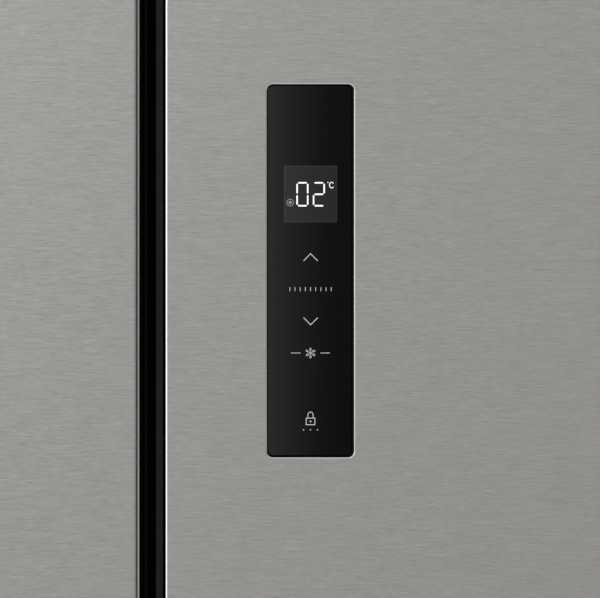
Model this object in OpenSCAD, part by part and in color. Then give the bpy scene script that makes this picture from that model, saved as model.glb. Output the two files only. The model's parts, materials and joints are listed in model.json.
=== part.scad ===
// American style fridge freezer: two full-height doors, freezer on the left, fridge on the right.
// X runs to the right, Y to the back and Z up. The origin is on the floor, under the middle of the box.

/* [Cabinet] */
// Width over the side panels
cabinet_w = 908; // [880:2:940]
// Depth of the insulated box, behind the door seals
cabinet_d = 600; // [580:2:640]
// Height of the top panel above the floor
cabinet_h = 1765; // [1740:5:1800]
// Underside of the insulated box above the floor
base_h = 60; // [56:1:66]
// Sheet thickness of the painted case
case_t = 0.8; // [0.6:0.1:1.2]
// Width of the steel flange round the front
flange_w = 32; // [30:1:36]
// Side wall, from the outside to the liner's inner face
side_wall = 56; // [54:1:62]
// Top wall
top_wall = 62; // [56:1:70]
// Floor wall, above the underside
floor_wall = 52; // [48:1:60]
// Rear wall
rear_wall = 70; // [66:1:80]
// Wall between the two compartments
divider_w = 70; // [66:1:78]
// Thickness of the moulded liners
liner_t = 2; // [1.5:0.1:2.5]
// Stand-off pads behind the cabinet
spacer_d = 18; // [12:1:24]

/* [Machine compartment] */
// Depth of the compartment at the bottom rear
machine_d = 200; // [196:1:215]
// Ceiling of the compartment above the floor
machine_top = 225; // [220:1:240]
// Insulation over and in front of the compartment
machine_wall = 50; // [46:1:56]
// Thickness of the steel base pan
pan_t = 2; // [1.6:0.1:2.5]
// Underside of the base pan above the floor
pan_z = 24; // [22:0.5:26]
// Side of the terminal box on the compressor
terminal_w = 56; // [50:1:58]
// How far the terminal box stands out of the compressor's shell
terminal_out = 22; // [16:1:24]
// Underside of the terminal box above the compressor's feet
terminal_z = 40; // [34:1:42]

/* [Doors] */
// Thickness of a door, from the steel front to the inner panel
door_t = 75; // [72:1:80]
// Width of the freezer door
freezer_door_w = 385.2; // [375:0.2:400]
// Gap between the corners of the two doors
door_gap = 17.6; // [17:0.2:20]
// Underside of the doors above the floor
door_bottom = 50; // [48:1:52]
// Gap between the doors and the hinge plates
door_top_gap = 3; // [2.5:0.1:4]
// Sheet thickness of the steel door front
skin_t = 1; // [0.8:0.1:1.2]
// Outside radius of the folded door edges
skin_r = 2; // [1.6:0.1:3]
// Thickness of the pressed door seal
seal_t = 14; // [13:0.5:16]
// Width of the door seal
seal_w = 12; // [10:0.5:13]
// Seal's distance from the door's hinge side, top and bottom
seal_inset = 16; // [15:0.5:17]
// Seal's distance from the door's free edge
seal_free_inset = 6; // [5:0.5:7]
// How far the raised ring stands behind the inner panel
ring_h = 30; // [26:1:34]
// Width of the raised ring
ring_w = 20; // [18:1:22]
// Gap between the ring and the cabinet's liner
ring_gap = 12; // [11:0.5:14]
// Height of the plastic end caps
cap_h = 18; // [17:0.5:22]
// Thickness of an end cap's outer plate
cap_plate = 3; // [2.5:0.1:4]

/* [Hinges] */
// Hinge pin's distance from the door's side
pivot_side = 14; // [13:0.1:15]
// Hinge pin's distance from the door's front
pivot_front = 40; // [38:0.5:44]
// Radius of the hinge pins
pin_r = 5; // [4.5:0.1:5.5]
// How far a pin reaches into the door
pin_reach = 14; // [12:0.5:15]
// Thickness of the hinge plates
hinge_t = 4; // [3:0.25:5]
// Width of the hinge plates
hinge_w = 38; // [34:1:40]
// Height of the hinge covers
cover_h = 22; // [20:1:28]

/* [Door grips] */
// How far the steel lip wraps back at the free edge
lip_d = 12; // [10:0.5:14]
// Length of the finger groove, from the lip to the ridge
groove_l = 18; // [17:0.5:22]
// How far the groove reaches into the door
groove_d = 16; // [15:0.5:20]
// Straight wall between the door's corner and the lip's flare
lip_step = 0.8; // [0.5:0.1:1.2]
// How far the lip flares out into the gap
lip_flare = 1.2; // [0.8:0.1:1.6]
// How far the flare falls back on its way out
lip_fall = 0.85; // [0.7:0.05:1.1]
// How far the freezer door's ridge reaches into the gap
freezer_ridge_out = 5.7; // [5:0.1:6.2]
// How far the fridge door's ridge reaches into the gap
fridge_ridge_out = 7.5; // [6.8:0.1:8]
// Inner edge of the ridges, beyond the door's corner
ridge_in = 3.2; // [2.6:0.1:3.6]
// Height of the ridges over the groove's floor
ridge_up = 6; // [4:0.5:7]
// Thickness of the groove's floor
groove_floor_t = 3; // [2.5:0.25:4]
// Radius of the ridges' front edges
ridge_r = 0.6; // [0.4:0.1:0.7]
// Wall of the grip profile
grip_wall = 2.5; // [2:0.1:3]

/* [Control panel] */
// Width of the window in the door's steel front
panel_w = 50.2; // [46:0.2:56]
// Height of the window
panel_h = 216; // [200:1:240]
// Corner radius of the window
panel_r = 3.5; // [3:0.1:5]
// Window's distance from the door's free edge
panel_edge = 57.6; // [50:0.2:70]
// Centre of the window above the floor
panel_z = 1330; // [1250:5:1400]
// Black line left round the glass
panel_line = 0.6; // [0.5:0.1:0.8]
// Glass thickness
panel_glass_t = 2.2; // [1.8:0.1:3]
// How far the glass lies behind the steel
panel_sink = 0.3; // [0.2:0.1:0.5]
// Depth of the housing behind the steel
housing_d = 20; // [18:1:26]
// Width of the display
display_w = 31; // [28:0.5:34]
// Height of the display
display_h = 33; // [30:0.5:36]
// Display's centre above the panel's centre
display_up = 45; // [40:1:50]

/* [Shelves] */
// Thickness of the shelf glass
pane_t = 4; // [3.2:0.2:5]
// Room between the door bins and the shelves
shelf_clear = 15; // [14:1:30]
// Width of the moulded shelf ledges
ledge_w = 8; // [6:0.5:9]
// Height of the ledges
ledge_h = 6; // [5:0.5:8]
// Height of a shelf's front trim
trim_h = 16; // [14:0.5:20]
// Depth of a shelf's front trim
trim_d = 9; // [8:0.5:11]
// Clear height between the open shelves
shelf_pitch = 250; // [235:1:262]
// Side gap between a shelf and its liner
shelf_gap = 1.5; // [1:0.1:2]

/* [Lamps] */
// Length of an inside lamp
lamp_l = 180; // [150:5:220]
// Width of an inside lamp
lamp_w = 44; // [36:2:60]
// How far an inside lamp stands out of the ceiling
lamp_h = 9; // [7:0.5:12]
// Corner radius of an inside lamp
lamp_r = 10; // [6:1:16]
// Inside lamp's distance behind the cabinet's front
lamp_set = 130; // [110:5:150]

/* [Drawers] */
// Wall of the drawers
drawer_wall = 2.5; // [2:0.1:3]
// Gap between a drawer and the shelf trim above it
drawer_clear = 3; // [2:0.5:6]
// Height of the upper drawers
upper_drawer_h = 164; // [150:1:170]
// Gap between a drawer and the divider's wall
drawer_gap = 4; // [3:0.5:6]
// Gap between a drawer and the outer wall, which lets it pass the opened door
drawer_hinge_gap = 13; // [12:0.5:18]
// Height of the drawers' guide rails
rail_h = 18; // [12:1:24]
// Gap behind the lower drawers
drawer_back_gap = 6; // [4:1:20]
// Gap that a drawer slides on
slide_gap = 0.3; // [0.2:0.05:0.5]
// How far a drawer's handle stands forward
pull_out = 8; // [6:0.5:9]

/* [Door bins] */
// Depth of the bins behind the inner panel
bin_d = 99; // [80:1:110]
// Height of the bins' walls
bin_h = 84; // [74:1:90]
// Wall of the bins
bin_wall = 2.5; // [2:0.1:3]
// Gap between the raised ring and the lowest bin
bin_first = 4; // [2:1:12]
// Gap between the upper drawers' top and the second bin
bin_clear = 8; // [4:1:14]
// Distance between the bins above that
bin_pitch = 305; // [295:1:315]

/* [Feet, rollers and fans] */
// Radius of the levelling feet
foot_r = 18; // [15:0.5:20]
// Radius of the feet's screws
stud_r = 5; // [4:0.5:6]
// Radius of the rear rollers
roller_r = 16; // [15:0.5:17]
// Width of the rollers
roller_w = 18; // [14:1:20]
// Radius of the roller axles
axle_r = 4; // [3:0.5:5]
// Radius of the condenser fan
cooling_fan_r = 62; // [54:1:66]
// Radius of the evaporator fan
cold_fan_r = 48; // [42:1:52]
// Radius of the fan shafts
shaft_r = 2.5; // [2:0.25:3]
// Radial clearance of pins, axles and shafts
running_gap = 0.08; // [0.05:0.01:0.1]

/* [Hidden] */
$fn = 48;
eps = 0.01;

// Gap between pieces that rest on or face each other
seat_gap = 0.3;

// Depths along Y, with the whole box centred on the origin.
total_d = door_t + seal_t + cabinet_d + spacer_d;
door_front = -total_d / 2;
cab_front = door_front + door_t + seal_t;
cab_back = cab_front + cabinet_d;
half_w = cabinet_w / 2;
door_top = cabinet_h - door_top_gap;
fridge_door_w = cabinet_w - freezer_door_w - door_gap;

// The two compartments: the divider stands behind the gap between the doors.
divider_x = -half_w + freezer_door_w + door_gap / 2;
freezer_x = [-half_w + side_wall, divider_x - divider_w / 2];
fridge_x = [divider_x + divider_w / 2, half_w - side_wall];
room_floor = base_h + floor_wall;
room_top = cabinet_h - top_wall;
room_back = cab_back - rear_wall;
step_y = cab_back - machine_d - machine_wall;
step_z = machine_top + machine_wall;
shelf_y = door_front + door_t + seat_gap + bin_d + shelf_clear;
divider_flange = 8;
sill_top = room_floor - 20;
pan_top = pan_z + pan_t;

// Freezer air duct and evaporator chamber, and the fridge's shallower duct.
freezer_duct_y = room_back - 60;
fridge_duct_y = room_back - 25;
duct_t = 3;
freezer_shelf_back = freezer_duct_y - 3;
fridge_shelf_back = fridge_duct_y - 3;

// Shelf levels give the underside of the glass. The lowest two cover the drawers.
level_1 = step_z - pane_t;
upper_drawer_top = step_z + slide_gap + upper_drawer_h;
level_2 = upper_drawer_top + drawer_clear + trim_h - pane_t;
lower_drawer_h = level_1 + pane_t - trim_h - drawer_clear - slide_gap - room_floor;
open_levels = 4;
levels = concat([level_1, level_2], [for (i = [1:open_levels]) level_2 + i * (shelf_pitch - pane_t)]);

// Grip profile, measured from the door's front.
ridge_v = lip_d + grip_wall + groove_l;
floor_v = ridge_v + ridge_up;
grip_back = floor_v + groove_floor_t;
hem = 6;

// Raised ring on the back of each door, as distances from the door's sides, underside and top.
ring_hinge = side_wall + ring_gap;
ring_free = divider_w / 2 - door_gap / 2 + ring_gap;
ring_low = room_floor - door_bottom + ring_gap;
ring_high = door_top - room_top + ring_gap;

// Bins on each door
bins = 5;

plate_edge = 4;
hinge_front = pivot_front - pivot_side + plate_edge;
hinge_back = door_t + seal_t + 70;
cover_t = 2;
cover_gap = 4;
bottom_plate_z = door_bottom - 3 - hinge_t;
screw_head_r = 5.5;
screw_head_t = 2.5;
screw_r = 2.5;

foot_x = half_w - 74;
foot_y = cab_front + 40;
foot_pad_t = 8;
roller_x = half_w - 54;
roller_y = cab_back - 45;
ear_t = 3;

// Evaporator and its fan, behind the freezer's duct cover
evap_z = level_2 + 40;
evap_h = 190;
evap_tube_r = 4;
evap_bend_r = 20;
evap_y = freezer_duct_y + duct_t + 5;
cold_fan_x = (freezer_x[0] + freezer_x[1]) / 2;
cold_fan_z = evap_z + evap_h + cold_fan_r + 12;
duct_z = [level_2 + 14, room_top - 1];

// Machine compartment, from left to right: condenser, fan, compressor
grommet_t = 12;
compressor_x = half_w - 244;
compressor_y = cab_back - 100;
compressor_z = pan_top + grommet_t;
compressor_r = 68;
compressor_shell_h = 120;
compressor_dome_h = 40;
pipe_r = 4;
// Pipe stubs of the compressor: side, depth, height and reach outside the shell
stubs = [[-1, -22, 94, 30], [-1, 22, 78, 30], [1, 0, 48, 26]];
fan_y = cab_back - 100;
fan_z = pan_top + 92;
condenser_x = -half_w + 204;
fan_x = condenser_x + 210;
condenser_size = [250, 96, 120];
condenser_tube_y = [20, 48, 76];
condenser_tube_z = [24, 60, 96];
condenser_tube_out = 6;
gland_x = -half_w + 124;
gland_z = 150;
machine_cover_t = 1.5;
power_box = [200, 90, 56];
tray_size = [190, 120, 16];

// Basic shapes

// A box given by its two corners.
module block(low, high) {
    translate(low) cube([for (i = [0:2]) high[i] - low[i]]);
}

// Plan of a slab whose two front corners are rounded.
module front_rounded(w, d, r) {
    translate([0, r]) square([w, d - r]);
    translate([r, 0]) square([w - 2 * r, d]);
    for (x = [r, w - r]) translate([x, r]) circle(r);
}

// A rectangle with four round corners, its low corner at the origin.
module rounded_rect(w, d, r) {
    translate([0, r]) square([w, d - 2 * r]);
    translate([r, 0]) square([w - 2 * r, d]);
    for (x = [r, w - r], y = [r, d - r]) translate([x, y]) circle(r);
}

// A plan shape pulled up from one height to another.
module rise(z0, z1) {
    translate([0, 0, z0]) linear_extrude(z1 - z0) children();
}

// A shape drawn in X and Z, given a depth along Y.
module deep(y0, y1) {
    translate([0, y1, 0]) rotate([90, 0, 0]) linear_extrude(y1 - y0) children();
}

// An open tub with rounded upright corners. Size is outside.
module tub(size, wall, r) {
    difference() {
        rise(0, size[2]) rounded_rect(size[0], size[1], r);
        translate([wall, wall, 0]) rise(wall, size[2] + 1)
            rounded_rect(size[0] - 2 * wall, size[1] - 2 * wall, r - wall);
    }
}

// Cabinet

module outer_case() {
    color([0.60, 0.60, 0.59]) {
        difference() {
            block([-half_w, cab_front, pan_z], [half_w, cab_back, cabinet_h]);
            block([-half_w + case_t, cab_front - 1, pan_z - 1],
                  [half_w - case_t, cab_back + 1, cabinet_h - case_t]);
        }
        difference() {
            block([-half_w, cab_front, pan_z], [half_w, cab_front + case_t, cabinet_h]);
            block([-half_w + flange_w, cab_front - 1, pan_z - 1],
                  [half_w - flange_w, cab_front + case_t + 1, cabinet_h - flange_w]);
        }
    }
}

module rear_panel() {
    color([0.78, 0.78, 0.76])
        difference() {
            block([-half_w + case_t, cab_back - case_t, machine_top],
                  [half_w - case_t, cab_back, cabinet_h - case_t]);
            // Pressed slots where the foam was filled
            for (x = [-0.25, 0.25]) translate([x * cabinet_w, 0, machine_top + 60])
                rotate([90, 0, 0]) cylinder(h = 3 * cabinet_d, r = 9, center = true);
        }
}

// The room inside a liner, grown outwards by g. Its floor steps up over the machine compartment.
module room(x, g) {
    difference() {
        block([x[0] - g, cab_front - 1, room_floor - g], [x[1] + g, room_back + g, room_top + g]);
        block([x[0] - g - 1, step_y + g, room_floor - g - 1], [x[1] + g + 1, room_back + g + 1, step_z - g]);
    }
}

// Front flange of a liner, between two widths.
module liner_flange(x) {
    block([x[0], cab_front, sill_top], [x[1], cab_front + liner_t, cabinet_h - flange_w]);
}

function freezer_flange() = [-half_w + flange_w, freezer_x[1] + divider_flange];
function fridge_flange() = [fridge_x[0] - divider_flange, half_w - flange_w];

module liner_outside(x, flange) {
    intersection() {
        room(x, liner_t);
        block([-half_w, cab_front, 0], [half_w, cab_back, cabinet_h]);
    }
    liner_flange(flange);
}

// Rails on the outer wall that guide the drawers. They stand from two heights.
module drawer_rails(x, outer, back) {
    w = drawer_hinge_gap - 1;
    low_x = outer < 0 ? x[0] - eps : x[1] - w;
    block([low_x, shelf_y + trim_d, room_floor - eps], [low_x + w + eps, step_y + eps, room_floor + rail_h]);
    block([low_x, shelf_y + trim_d, step_z], [low_x + w + eps, back, step_z + rail_h]);
}

// Ledges that carry the shelves, on both side walls.
module ledges(x, back) {
    for (z = levels, side = [0, 1]) {
        y_end = z < step_z ? step_y : back;
        low_x = side == 0 ? x[0] - eps : x[1] - ledge_w;
        block([low_x, shelf_y + trim_d, z - ledge_h], [low_x + ledge_w + eps, y_end, z]);
    }
}

module liner(x, flange, outer, back) {
    difference() {
        liner_outside(x, flange);
        room(x, 0);
    }
    ledges(x, back);
    drawer_rails(x, outer, back);
}

module freezer_liner() {
    color([0.93, 0.93, 0.92]) liner(freezer_x, freezer_flange(), -1, freezer_shelf_back);
}

module fridge_liner() {
    color([0.93, 0.93, 0.92]) liner(fridge_x, fridge_flange(), 1, fridge_shelf_back);
}

module cabinet_insulation() {
    color([0.92, 0.88, 0.66]) difference() {
        block([-half_w + case_t, cab_front + case_t, base_h],
              [half_w - case_t, cab_back - case_t, cabinet_h - case_t]);
        liner_outside(freezer_x, freezer_flange());
        liner_outside(fridge_x, fridge_flange());
        block([-half_w, cab_back - machine_d, 0], [half_w, cab_back + 1, machine_top]);
    }
}

module divider_cover() {
    color([0.08, 0.08, 0.09])
        block([freezer_flange()[1], cab_front, sill_top],
              [fridge_flange()[0], cab_front + case_t, cabinet_h - flange_w]);
}

// Chassis, feet and rollers

module roller_bracket() {
    for (side = [-1, 1]) translate([side * (roller_w / 2 + 1 + ear_t / 2), 0, 0]) {
        block([-ear_t / 2, -14, roller_r], [ear_t / 2, 14, pan_top]);
        translate([0, 0, roller_r]) rotate([0, 90, 0]) cylinder(h = ear_t, r = 9, center = true);
    }
    translate([0, 0, roller_r]) rotate([0, 90, 0])
        cylinder(h = roller_w + 2 + 2 * ear_t + 2, r = axle_r, center = true);
}

module chassis() {
    rail_w = 18;
    slot_x = roller_w / 2 + 1;
    slot_y = roller_r + 4;
    color([0.55, 0.56, 0.57]) {
        difference() {
            block([-half_w + case_t, cab_front + case_t, pan_z], [half_w - case_t, cab_back, pan_top]);
            for (side = [-1, 1]) {
                translate([side * roller_x, roller_y, 0])
                    block([-slot_x, -slot_y, 0], [slot_x, slot_y, pan_top + 1]);
                translate([side * foot_x, foot_y, 0]) cylinder(h = 200, r = stud_r + 2, center = true);
            }
        }
        // Sill under the doors
        block([-half_w + flange_w, cab_front, pan_z], [half_w - flange_w, cab_front + case_t, sill_top]);
        for (side = [-1, 1]) {
            // Side rail that the insulated box stands on
            mirror([side < 0 ? 1 : 0, 0, 0]) {
                block([half_w - case_t - pan_t, cab_front + case_t, pan_top - eps],
                      [half_w - case_t, cab_back - machine_d, base_h]);
                block([half_w - case_t - rail_w, cab_front + case_t, base_h - pan_t],
                      [half_w - case_t, cab_back - machine_d, base_h]);
            }
            // Threaded bush of a levelling foot
            translate([side * foot_x, foot_y, 0]) difference() {
                translate([0, 0, pan_z]) cylinder(h = base_h - 4 - pan_z, r = stud_r + 6);
                cylinder(h = 200, r = stud_r + running_gap, center = true);
            }
            translate([side * roller_x, roller_y, 0]) roller_bracket();
        }
    }
}

module foot(side) {
    color([0.15, 0.15, 0.16]) translate([side * foot_x, foot_y, 0]) {
        cylinder(h = 3, r = foot_r);
        translate([0, 0, 3 - eps]) cylinder(h = foot_pad_t - 3, r1 = foot_r, r2 = foot_r - 4);
        translate([0, 0, foot_pad_t - eps]) cylinder(h = 5, r = stud_r + 4, $fn = 6);
        cylinder(h = base_h - 12, r = stud_r);
    }
}

module roller(side) {
    color([0.20, 0.20, 0.21]) translate([side * roller_x, roller_y, roller_r]) rotate([0, 90, 0])
        difference() {
            union() {
                cylinder(h = roller_w - 4, r = roller_r, center = true);
                cylinder(h = roller_w, r = roller_r - 2, center = true);
            }
            cylinder(h = roller_w + 2, r = axle_r + running_gap, center = true);
            for (s = [-1, 1]) translate([0, 0, s * roller_w / 2]) difference() {
                cylinder(h = 4, r = roller_r - 4, center = true);
                cylinder(h = 6, r = axle_r + 3, center = true);
            }
        }
}

module kickplate() {
    kick_x = half_w - hinge_w - 12;
    kick_z = [10, door_bottom - 8];
    wall = 3;
    slots = 26;
    slot_l = 18;
    slot_pitch = 2 * (kick_x - 40) / (slots - 1);
    kick_y = cab_front - 26;
    color([0.17, 0.17, 0.18]) difference() {
        union() {
            block([-kick_x, kick_y, kick_z[0]], [kick_x, kick_y + wall, kick_z[1]]);
            block([-kick_x, kick_y, kick_z[1] - wall], [kick_x, cab_front, kick_z[1]]);
            for (x = [-kick_x, 0, kick_x - wall])
                block([x, kick_y, pan_z], [x + wall, cab_front, kick_z[1]]);
        }
        for (i = [0:slots - 1], z = [17, 24, 31])
            translate([-kick_x + 40 + i * slot_pitch, 0, z])
                block([-slot_l / 2, kick_y - 1, -1.5], [slot_l / 2, kick_y + wall + 1, 1.5]);
    }
}

// Hinges. They are drawn for the left side and mirrored for the right.

module on_side(side) {
    if (side < 0) translate([-half_w, door_front, 0]) children();
    else mirror([1, 0, 0]) translate([-half_w, door_front, 0]) children();
}

function top_screws() = [for (v = [door_t + seal_t + 18, door_t + seal_t + 50], u = bottom_screws()) [u, v]];
function bottom_screws() = [10, hinge_w - 8];

module top_hinge(side) {
    color([0.70, 0.70, 0.70]) on_side(side) {
        difference() {
            rise(cabinet_h, cabinet_h + hinge_t) union() {
                translate([plate_edge, pivot_front])
                    square([hinge_w - 2 * plate_edge, hinge_back - pivot_front]);
                translate([pivot_side, pivot_front]) circle(pivot_side - plate_edge);
            }
            for (p = top_screws()) translate([p[0], p[1], 0])
                cylinder(h = 2 * cabinet_h, r = screw_r + 0.3);
        }
        translate([pivot_side, pivot_front, door_top - pin_reach])
            cylinder(h = pin_reach + door_top_gap + hinge_t + 4, r = pin_r);
    }
}

module hinge_covers() {
    color([0.24, 0.24, 0.25]) for (side = [-1, 1]) on_side(side) difference() {
        rise(cabinet_h, cabinet_h + cover_h) translate([0, hinge_front - cover_gap])
            rounded_rect(hinge_w + cover_gap, hinge_back + 2 * cover_gap - hinge_front, 6);
        rise(cabinet_h - 1, cabinet_h + cover_h - cover_t)
            translate([cover_t, hinge_front - cover_gap + cover_t]) rounded_rect(
                hinge_w + cover_gap - 2 * cover_t,
                hinge_back + 2 * cover_gap - hinge_front - 2 * cover_t, 6 - cover_t);
    }
}

module bottom_hinge(side) {
    back_v = door_t + seal_t;
    color([0.70, 0.70, 0.70]) on_side(side) {
        difference() {
            union() {
                rise(bottom_plate_z, bottom_plate_z + hinge_t) union() {
                    translate([plate_edge, pivot_front])
                        square([hinge_w - 2 * plate_edge, back_v - pivot_front]);
                    translate([pivot_side, pivot_front]) circle(pivot_side - plate_edge);
                }
                block([plate_edge, back_v - hinge_t, pan_z + 2],
                      [hinge_w - plate_edge, back_v, bottom_plate_z + eps]);
            }
            for (u = bottom_screws()) translate([u, 0, (pan_z + bottom_plate_z) / 2])
                rotate([90, 0, 0]) cylinder(h = 4 * door_t, r = screw_r + 0.3, center = true);
        }
        translate([pivot_side, pivot_front, bottom_plate_z])
            cylinder(h = door_bottom - bottom_plate_z + pin_reach, r = pin_r);
        // Thrust washer that the door stands on
        translate([pivot_side, pivot_front, bottom_plate_z + hinge_t - eps])
            cylinder(h = door_bottom - bottom_plate_z - hinge_t - seat_gap, r = pin_r + 4);
    }
}

// A pan-head screw pointing down from its head's seat at the origin.
module screw(l) {
    translate([0, 0, -l]) cylinder(h = l, r = screw_r);
    difference() {
        cylinder(h = screw_head_t, r = screw_head_r);
        for (a = [0, 90]) rotate([0, 0, a])
            block([-3.5, -0.6, screw_head_t - 1.2], [3.5, 0.6, screw_head_t + 1]);
    }
}

function cover_screws() = [for (x = [-0.46, -0.16, 0.16, 0.46], z = [pan_top + 12, machine_top - 8])
    [x * cabinet_w, z]];

module cabinet_screws() {
    color([0.72, 0.72, 0.70]) {
        for (side = [-1, 1]) on_side(side) {
            for (p = top_screws()) translate([p[0], p[1], cabinet_h + hinge_t]) screw(hinge_t);
            for (u = bottom_screws())
                translate([u, door_t + seal_t - hinge_t, (pan_z + bottom_plate_z) / 2])
                    rotate([90, 0, 0]) screw(hinge_t);
        }
        for (p = cover_screws()) translate([p[0], cab_back, p[1]])
            rotate([-90, 0, 0]) screw(machine_cover_t);
    }
}

// Inside the compartments

module shelf_panes(x, back) {
    for (z = levels) {
        y_end = z < step_z ? step_y - 1 : back;
        block([x[0] + shelf_gap, shelf_y + trim_d - 4, z], [x[1] - shelf_gap, y_end, z + pane_t]);
    }
}

module shelf_trims(x) {
    for (z = levels) difference() {
        block([x[0] + shelf_gap, shelf_y, z + pane_t - trim_h],
              [x[1] - shelf_gap, shelf_y + trim_d, z + pane_t]);
        block([x[0], shelf_y + trim_d - 4, z], [x[1], shelf_y + trim_d + 1, z + pane_t + 1]);
        block([x[0], shelf_y + 3, z - trim_h], [x[1], shelf_y + trim_d + 1, z - 3]);
    }
}

module freezer_shelves() {
    color([0.75, 0.85, 0.84, 0.5]) shelf_panes(freezer_x, freezer_shelf_back);
}

module freezer_shelf_trims() {
    color([0.88, 0.89, 0.90]) shelf_trims(freezer_x);
}

module fridge_shelves() {
    color([0.75, 0.85, 0.84, 0.5]) shelf_panes(fridge_x, fridge_shelf_back);
}

module fridge_shelf_trims() {
    color([0.88, 0.89, 0.90]) shelf_trims(fridge_x);
}

// A drawer with a handle along the middle of its front. Its floor lies slide_gap above z.
module drawer(x, outer, z, h, y_end) {
    w = x[1] - x[0] - drawer_gap - drawer_hinge_gap;
    d = y_end - shelf_y;
    pull_w = 0.42 * w;
    translate([x[0] + (outer < 0 ? drawer_hinge_gap : drawer_gap), shelf_y, z + slide_gap]) {
        tub([w, d, h], drawer_wall, 9);
        difference() {
            block([(w - pull_w) / 2, -pull_out, h - 22], [(w + pull_w) / 2, drawer_wall, h - 4]);
            block([(w - pull_w) / 2 + 3, -pull_out + 2.5, h - 23], [(w + pull_w) / 2 - 3, -0.5, h - 7]);
        }
    }
}

module freezer_drawer_lower() {
    color([0.86, 0.91, 0.94, 0.6])
        drawer(freezer_x, -1, room_floor, lower_drawer_h, step_y - drawer_back_gap);
}

module freezer_drawer_upper() {
    color([0.86, 0.91, 0.94, 0.6]) drawer(freezer_x, -1, step_z, upper_drawer_h, freezer_shelf_back);
}

module crisper_lower() {
    color([0.86, 0.91, 0.94, 0.6]) drawer(fridge_x, 1, room_floor, lower_drawer_h, step_y - drawer_back_gap);
}

module crisper_upper() {
    color([0.86, 0.91, 0.94, 0.6]) drawer(fridge_x, 1, step_z, upper_drawer_h, fridge_shelf_back);
}

// Rows of air slots through a panel at depth y.
module air_slots(x_mid, z_list, y, count, l) {
    for (z = z_list, i = [0:count - 1])
        translate([x_mid + (i - (count - 1) / 2) * (l + 10), y, z]) block([-l / 2, -5, -3], [l / 2, 10, 3]);
}

module freezer_duct_cover() {
    x = [freezer_x[0] + 1, freezer_x[1] - 1];
    z = duct_z;
    y = freezer_duct_y;
    color([0.90, 0.91, 0.92]) difference() {
        union() {
            block([x[0], y, z[0]], [x[1], y + duct_t, z[1]]);
            // Side and top walls that close the evaporator chamber
            for (wx = [x[0], x[1] - duct_t]) block([wx, y, z[0]], [wx + duct_t, room_back - seat_gap, z[1]]);
            block([x[0], y, z[1] - duct_t], [x[1], room_back - seat_gap, z[1]]);
        }
        air_slots(cold_fan_x, [for (i = [3:5]) levels[i] + 200], y, 5, 36);
        for (r = [cold_fan_r - 8 : -12 : 12]) translate([cold_fan_x, y - 1, cold_fan_z]) rotate([-90, 0, 0])
            difference() {
                cylinder(h = duct_t + 2, r = r);
                translate([0, 0, -1]) cylinder(h = duct_t + 4, r = r - 6);
                for (a = [0, 90]) rotate([0, 0, a]) block([-60, -2, -1], [60, 2, duct_t + 4]);
            }
        air_slots(cold_fan_x, [z[0] + 12, z[0] + 26], y, 5, 36);
    }
}

module fridge_duct_cover() {
    x = [fridge_x[0] + 1, fridge_x[1] - 1];
    mid = (x[0] + x[1]) / 2;
    z = duct_z;
    y = fridge_duct_y;
    color([0.90, 0.91, 0.92]) difference() {
        union() {
            block([x[0], y, z[0]], [x[1], room_back - seat_gap, z[1]]);
            block([mid - 70, y - 2, z[0] + 20], [mid + 70, y + 1, z[1] - 40]);
        }
        block([x[0] + duct_t, y + duct_t, z[0] - 1], [x[1] - duct_t, room_back + 1, z[1] - duct_t]);
        air_slots(mid, [for (i = [2:5]) levels[i] + 40], y, 3, 30);
        air_slots(mid, [room_top - 70], y, 3, 30);
    }
}

module interior_lamps() {
    color([0.97, 0.97, 0.93]) for (x = [freezer_x, fridge_x]) {
        mid = (x[0] + x[1]) / 2;
        translate([mid - lamp_l / 2, cab_front + lamp_set, room_top - lamp_h])
            rise(0, lamp_h) rounded_rect(lamp_l, lamp_w, lamp_r);
    }
}

// Evaporator: a stack of fins on a tube that runs to and fro.
module evaporator() {
    tube_out = 8;
    side = evap_bend_r + evap_tube_r + tube_out + 9;
    x = [freezer_x[0] + side, freezer_x[1] - side];
    y = [evap_y, room_back - seat_gap];
    fins = 24;
    fin_t = 1.2;
    rows = 5;
    row_z = 15;
    pitch = (x[1] - x[0] - fin_t) / (fins - 1);
    tube_y = (y[0] + y[1]) / 2;
    color([0.80, 0.81, 0.82]) {
        for (i = [0:fins - 1]) translate([x[0] + i * pitch, y[0], evap_z]) cube([fin_t, y[1] - y[0], evap_h]);
        for (k = [0:rows - 1]) translate([x[0] - tube_out, tube_y, evap_z + row_z + k * 2 * evap_bend_r])
            rotate([0, 90, 0]) cylinder(h = x[1] - x[0] + 2 * tube_out, r = evap_tube_r);
        for (k = [0:rows - 2])
            translate([k % 2 == 0 ? x[1] + tube_out : x[0] - tube_out, tube_y,
                       evap_z + row_z + (2 * k + 1) * evap_bend_r])
                rotate([90, 0, 0]) rotate([0, 0, k % 2 == 0 ? -90 : 90])
                    rotate_extrude(angle = 180) translate([evap_bend_r, 0]) circle(evap_tube_r);
    }
}

// A rotor that turns about Y: its hub's front face is at the origin.
module rotor(r, hub_r, depth, blades) {
    difference() {
        union() {
            rotate([-90, 0, 0]) cylinder(h = depth, r = hub_r);
            for (i = [0:blades - 1]) rotate([0, i * 360 / blades, 0])
                translate([0, depth / 2, hub_r - 2]) rotate([0, 0, 32])
                    block([-r * 0.28, -0.9, 0], [r * 0.28, 0.9, r - hub_r - 1]);
        }
        translate([0, 2, 0]) rotate([-90, 0, 0]) cylinder(h = depth, r = shaft_r + running_gap);
    }
}

module evaporator_fan() {
    color([0.20, 0.20, 0.21]) translate([cold_fan_x, evap_y, cold_fan_z])
        rotor(cold_fan_r, 14, 16, 5);
}

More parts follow.
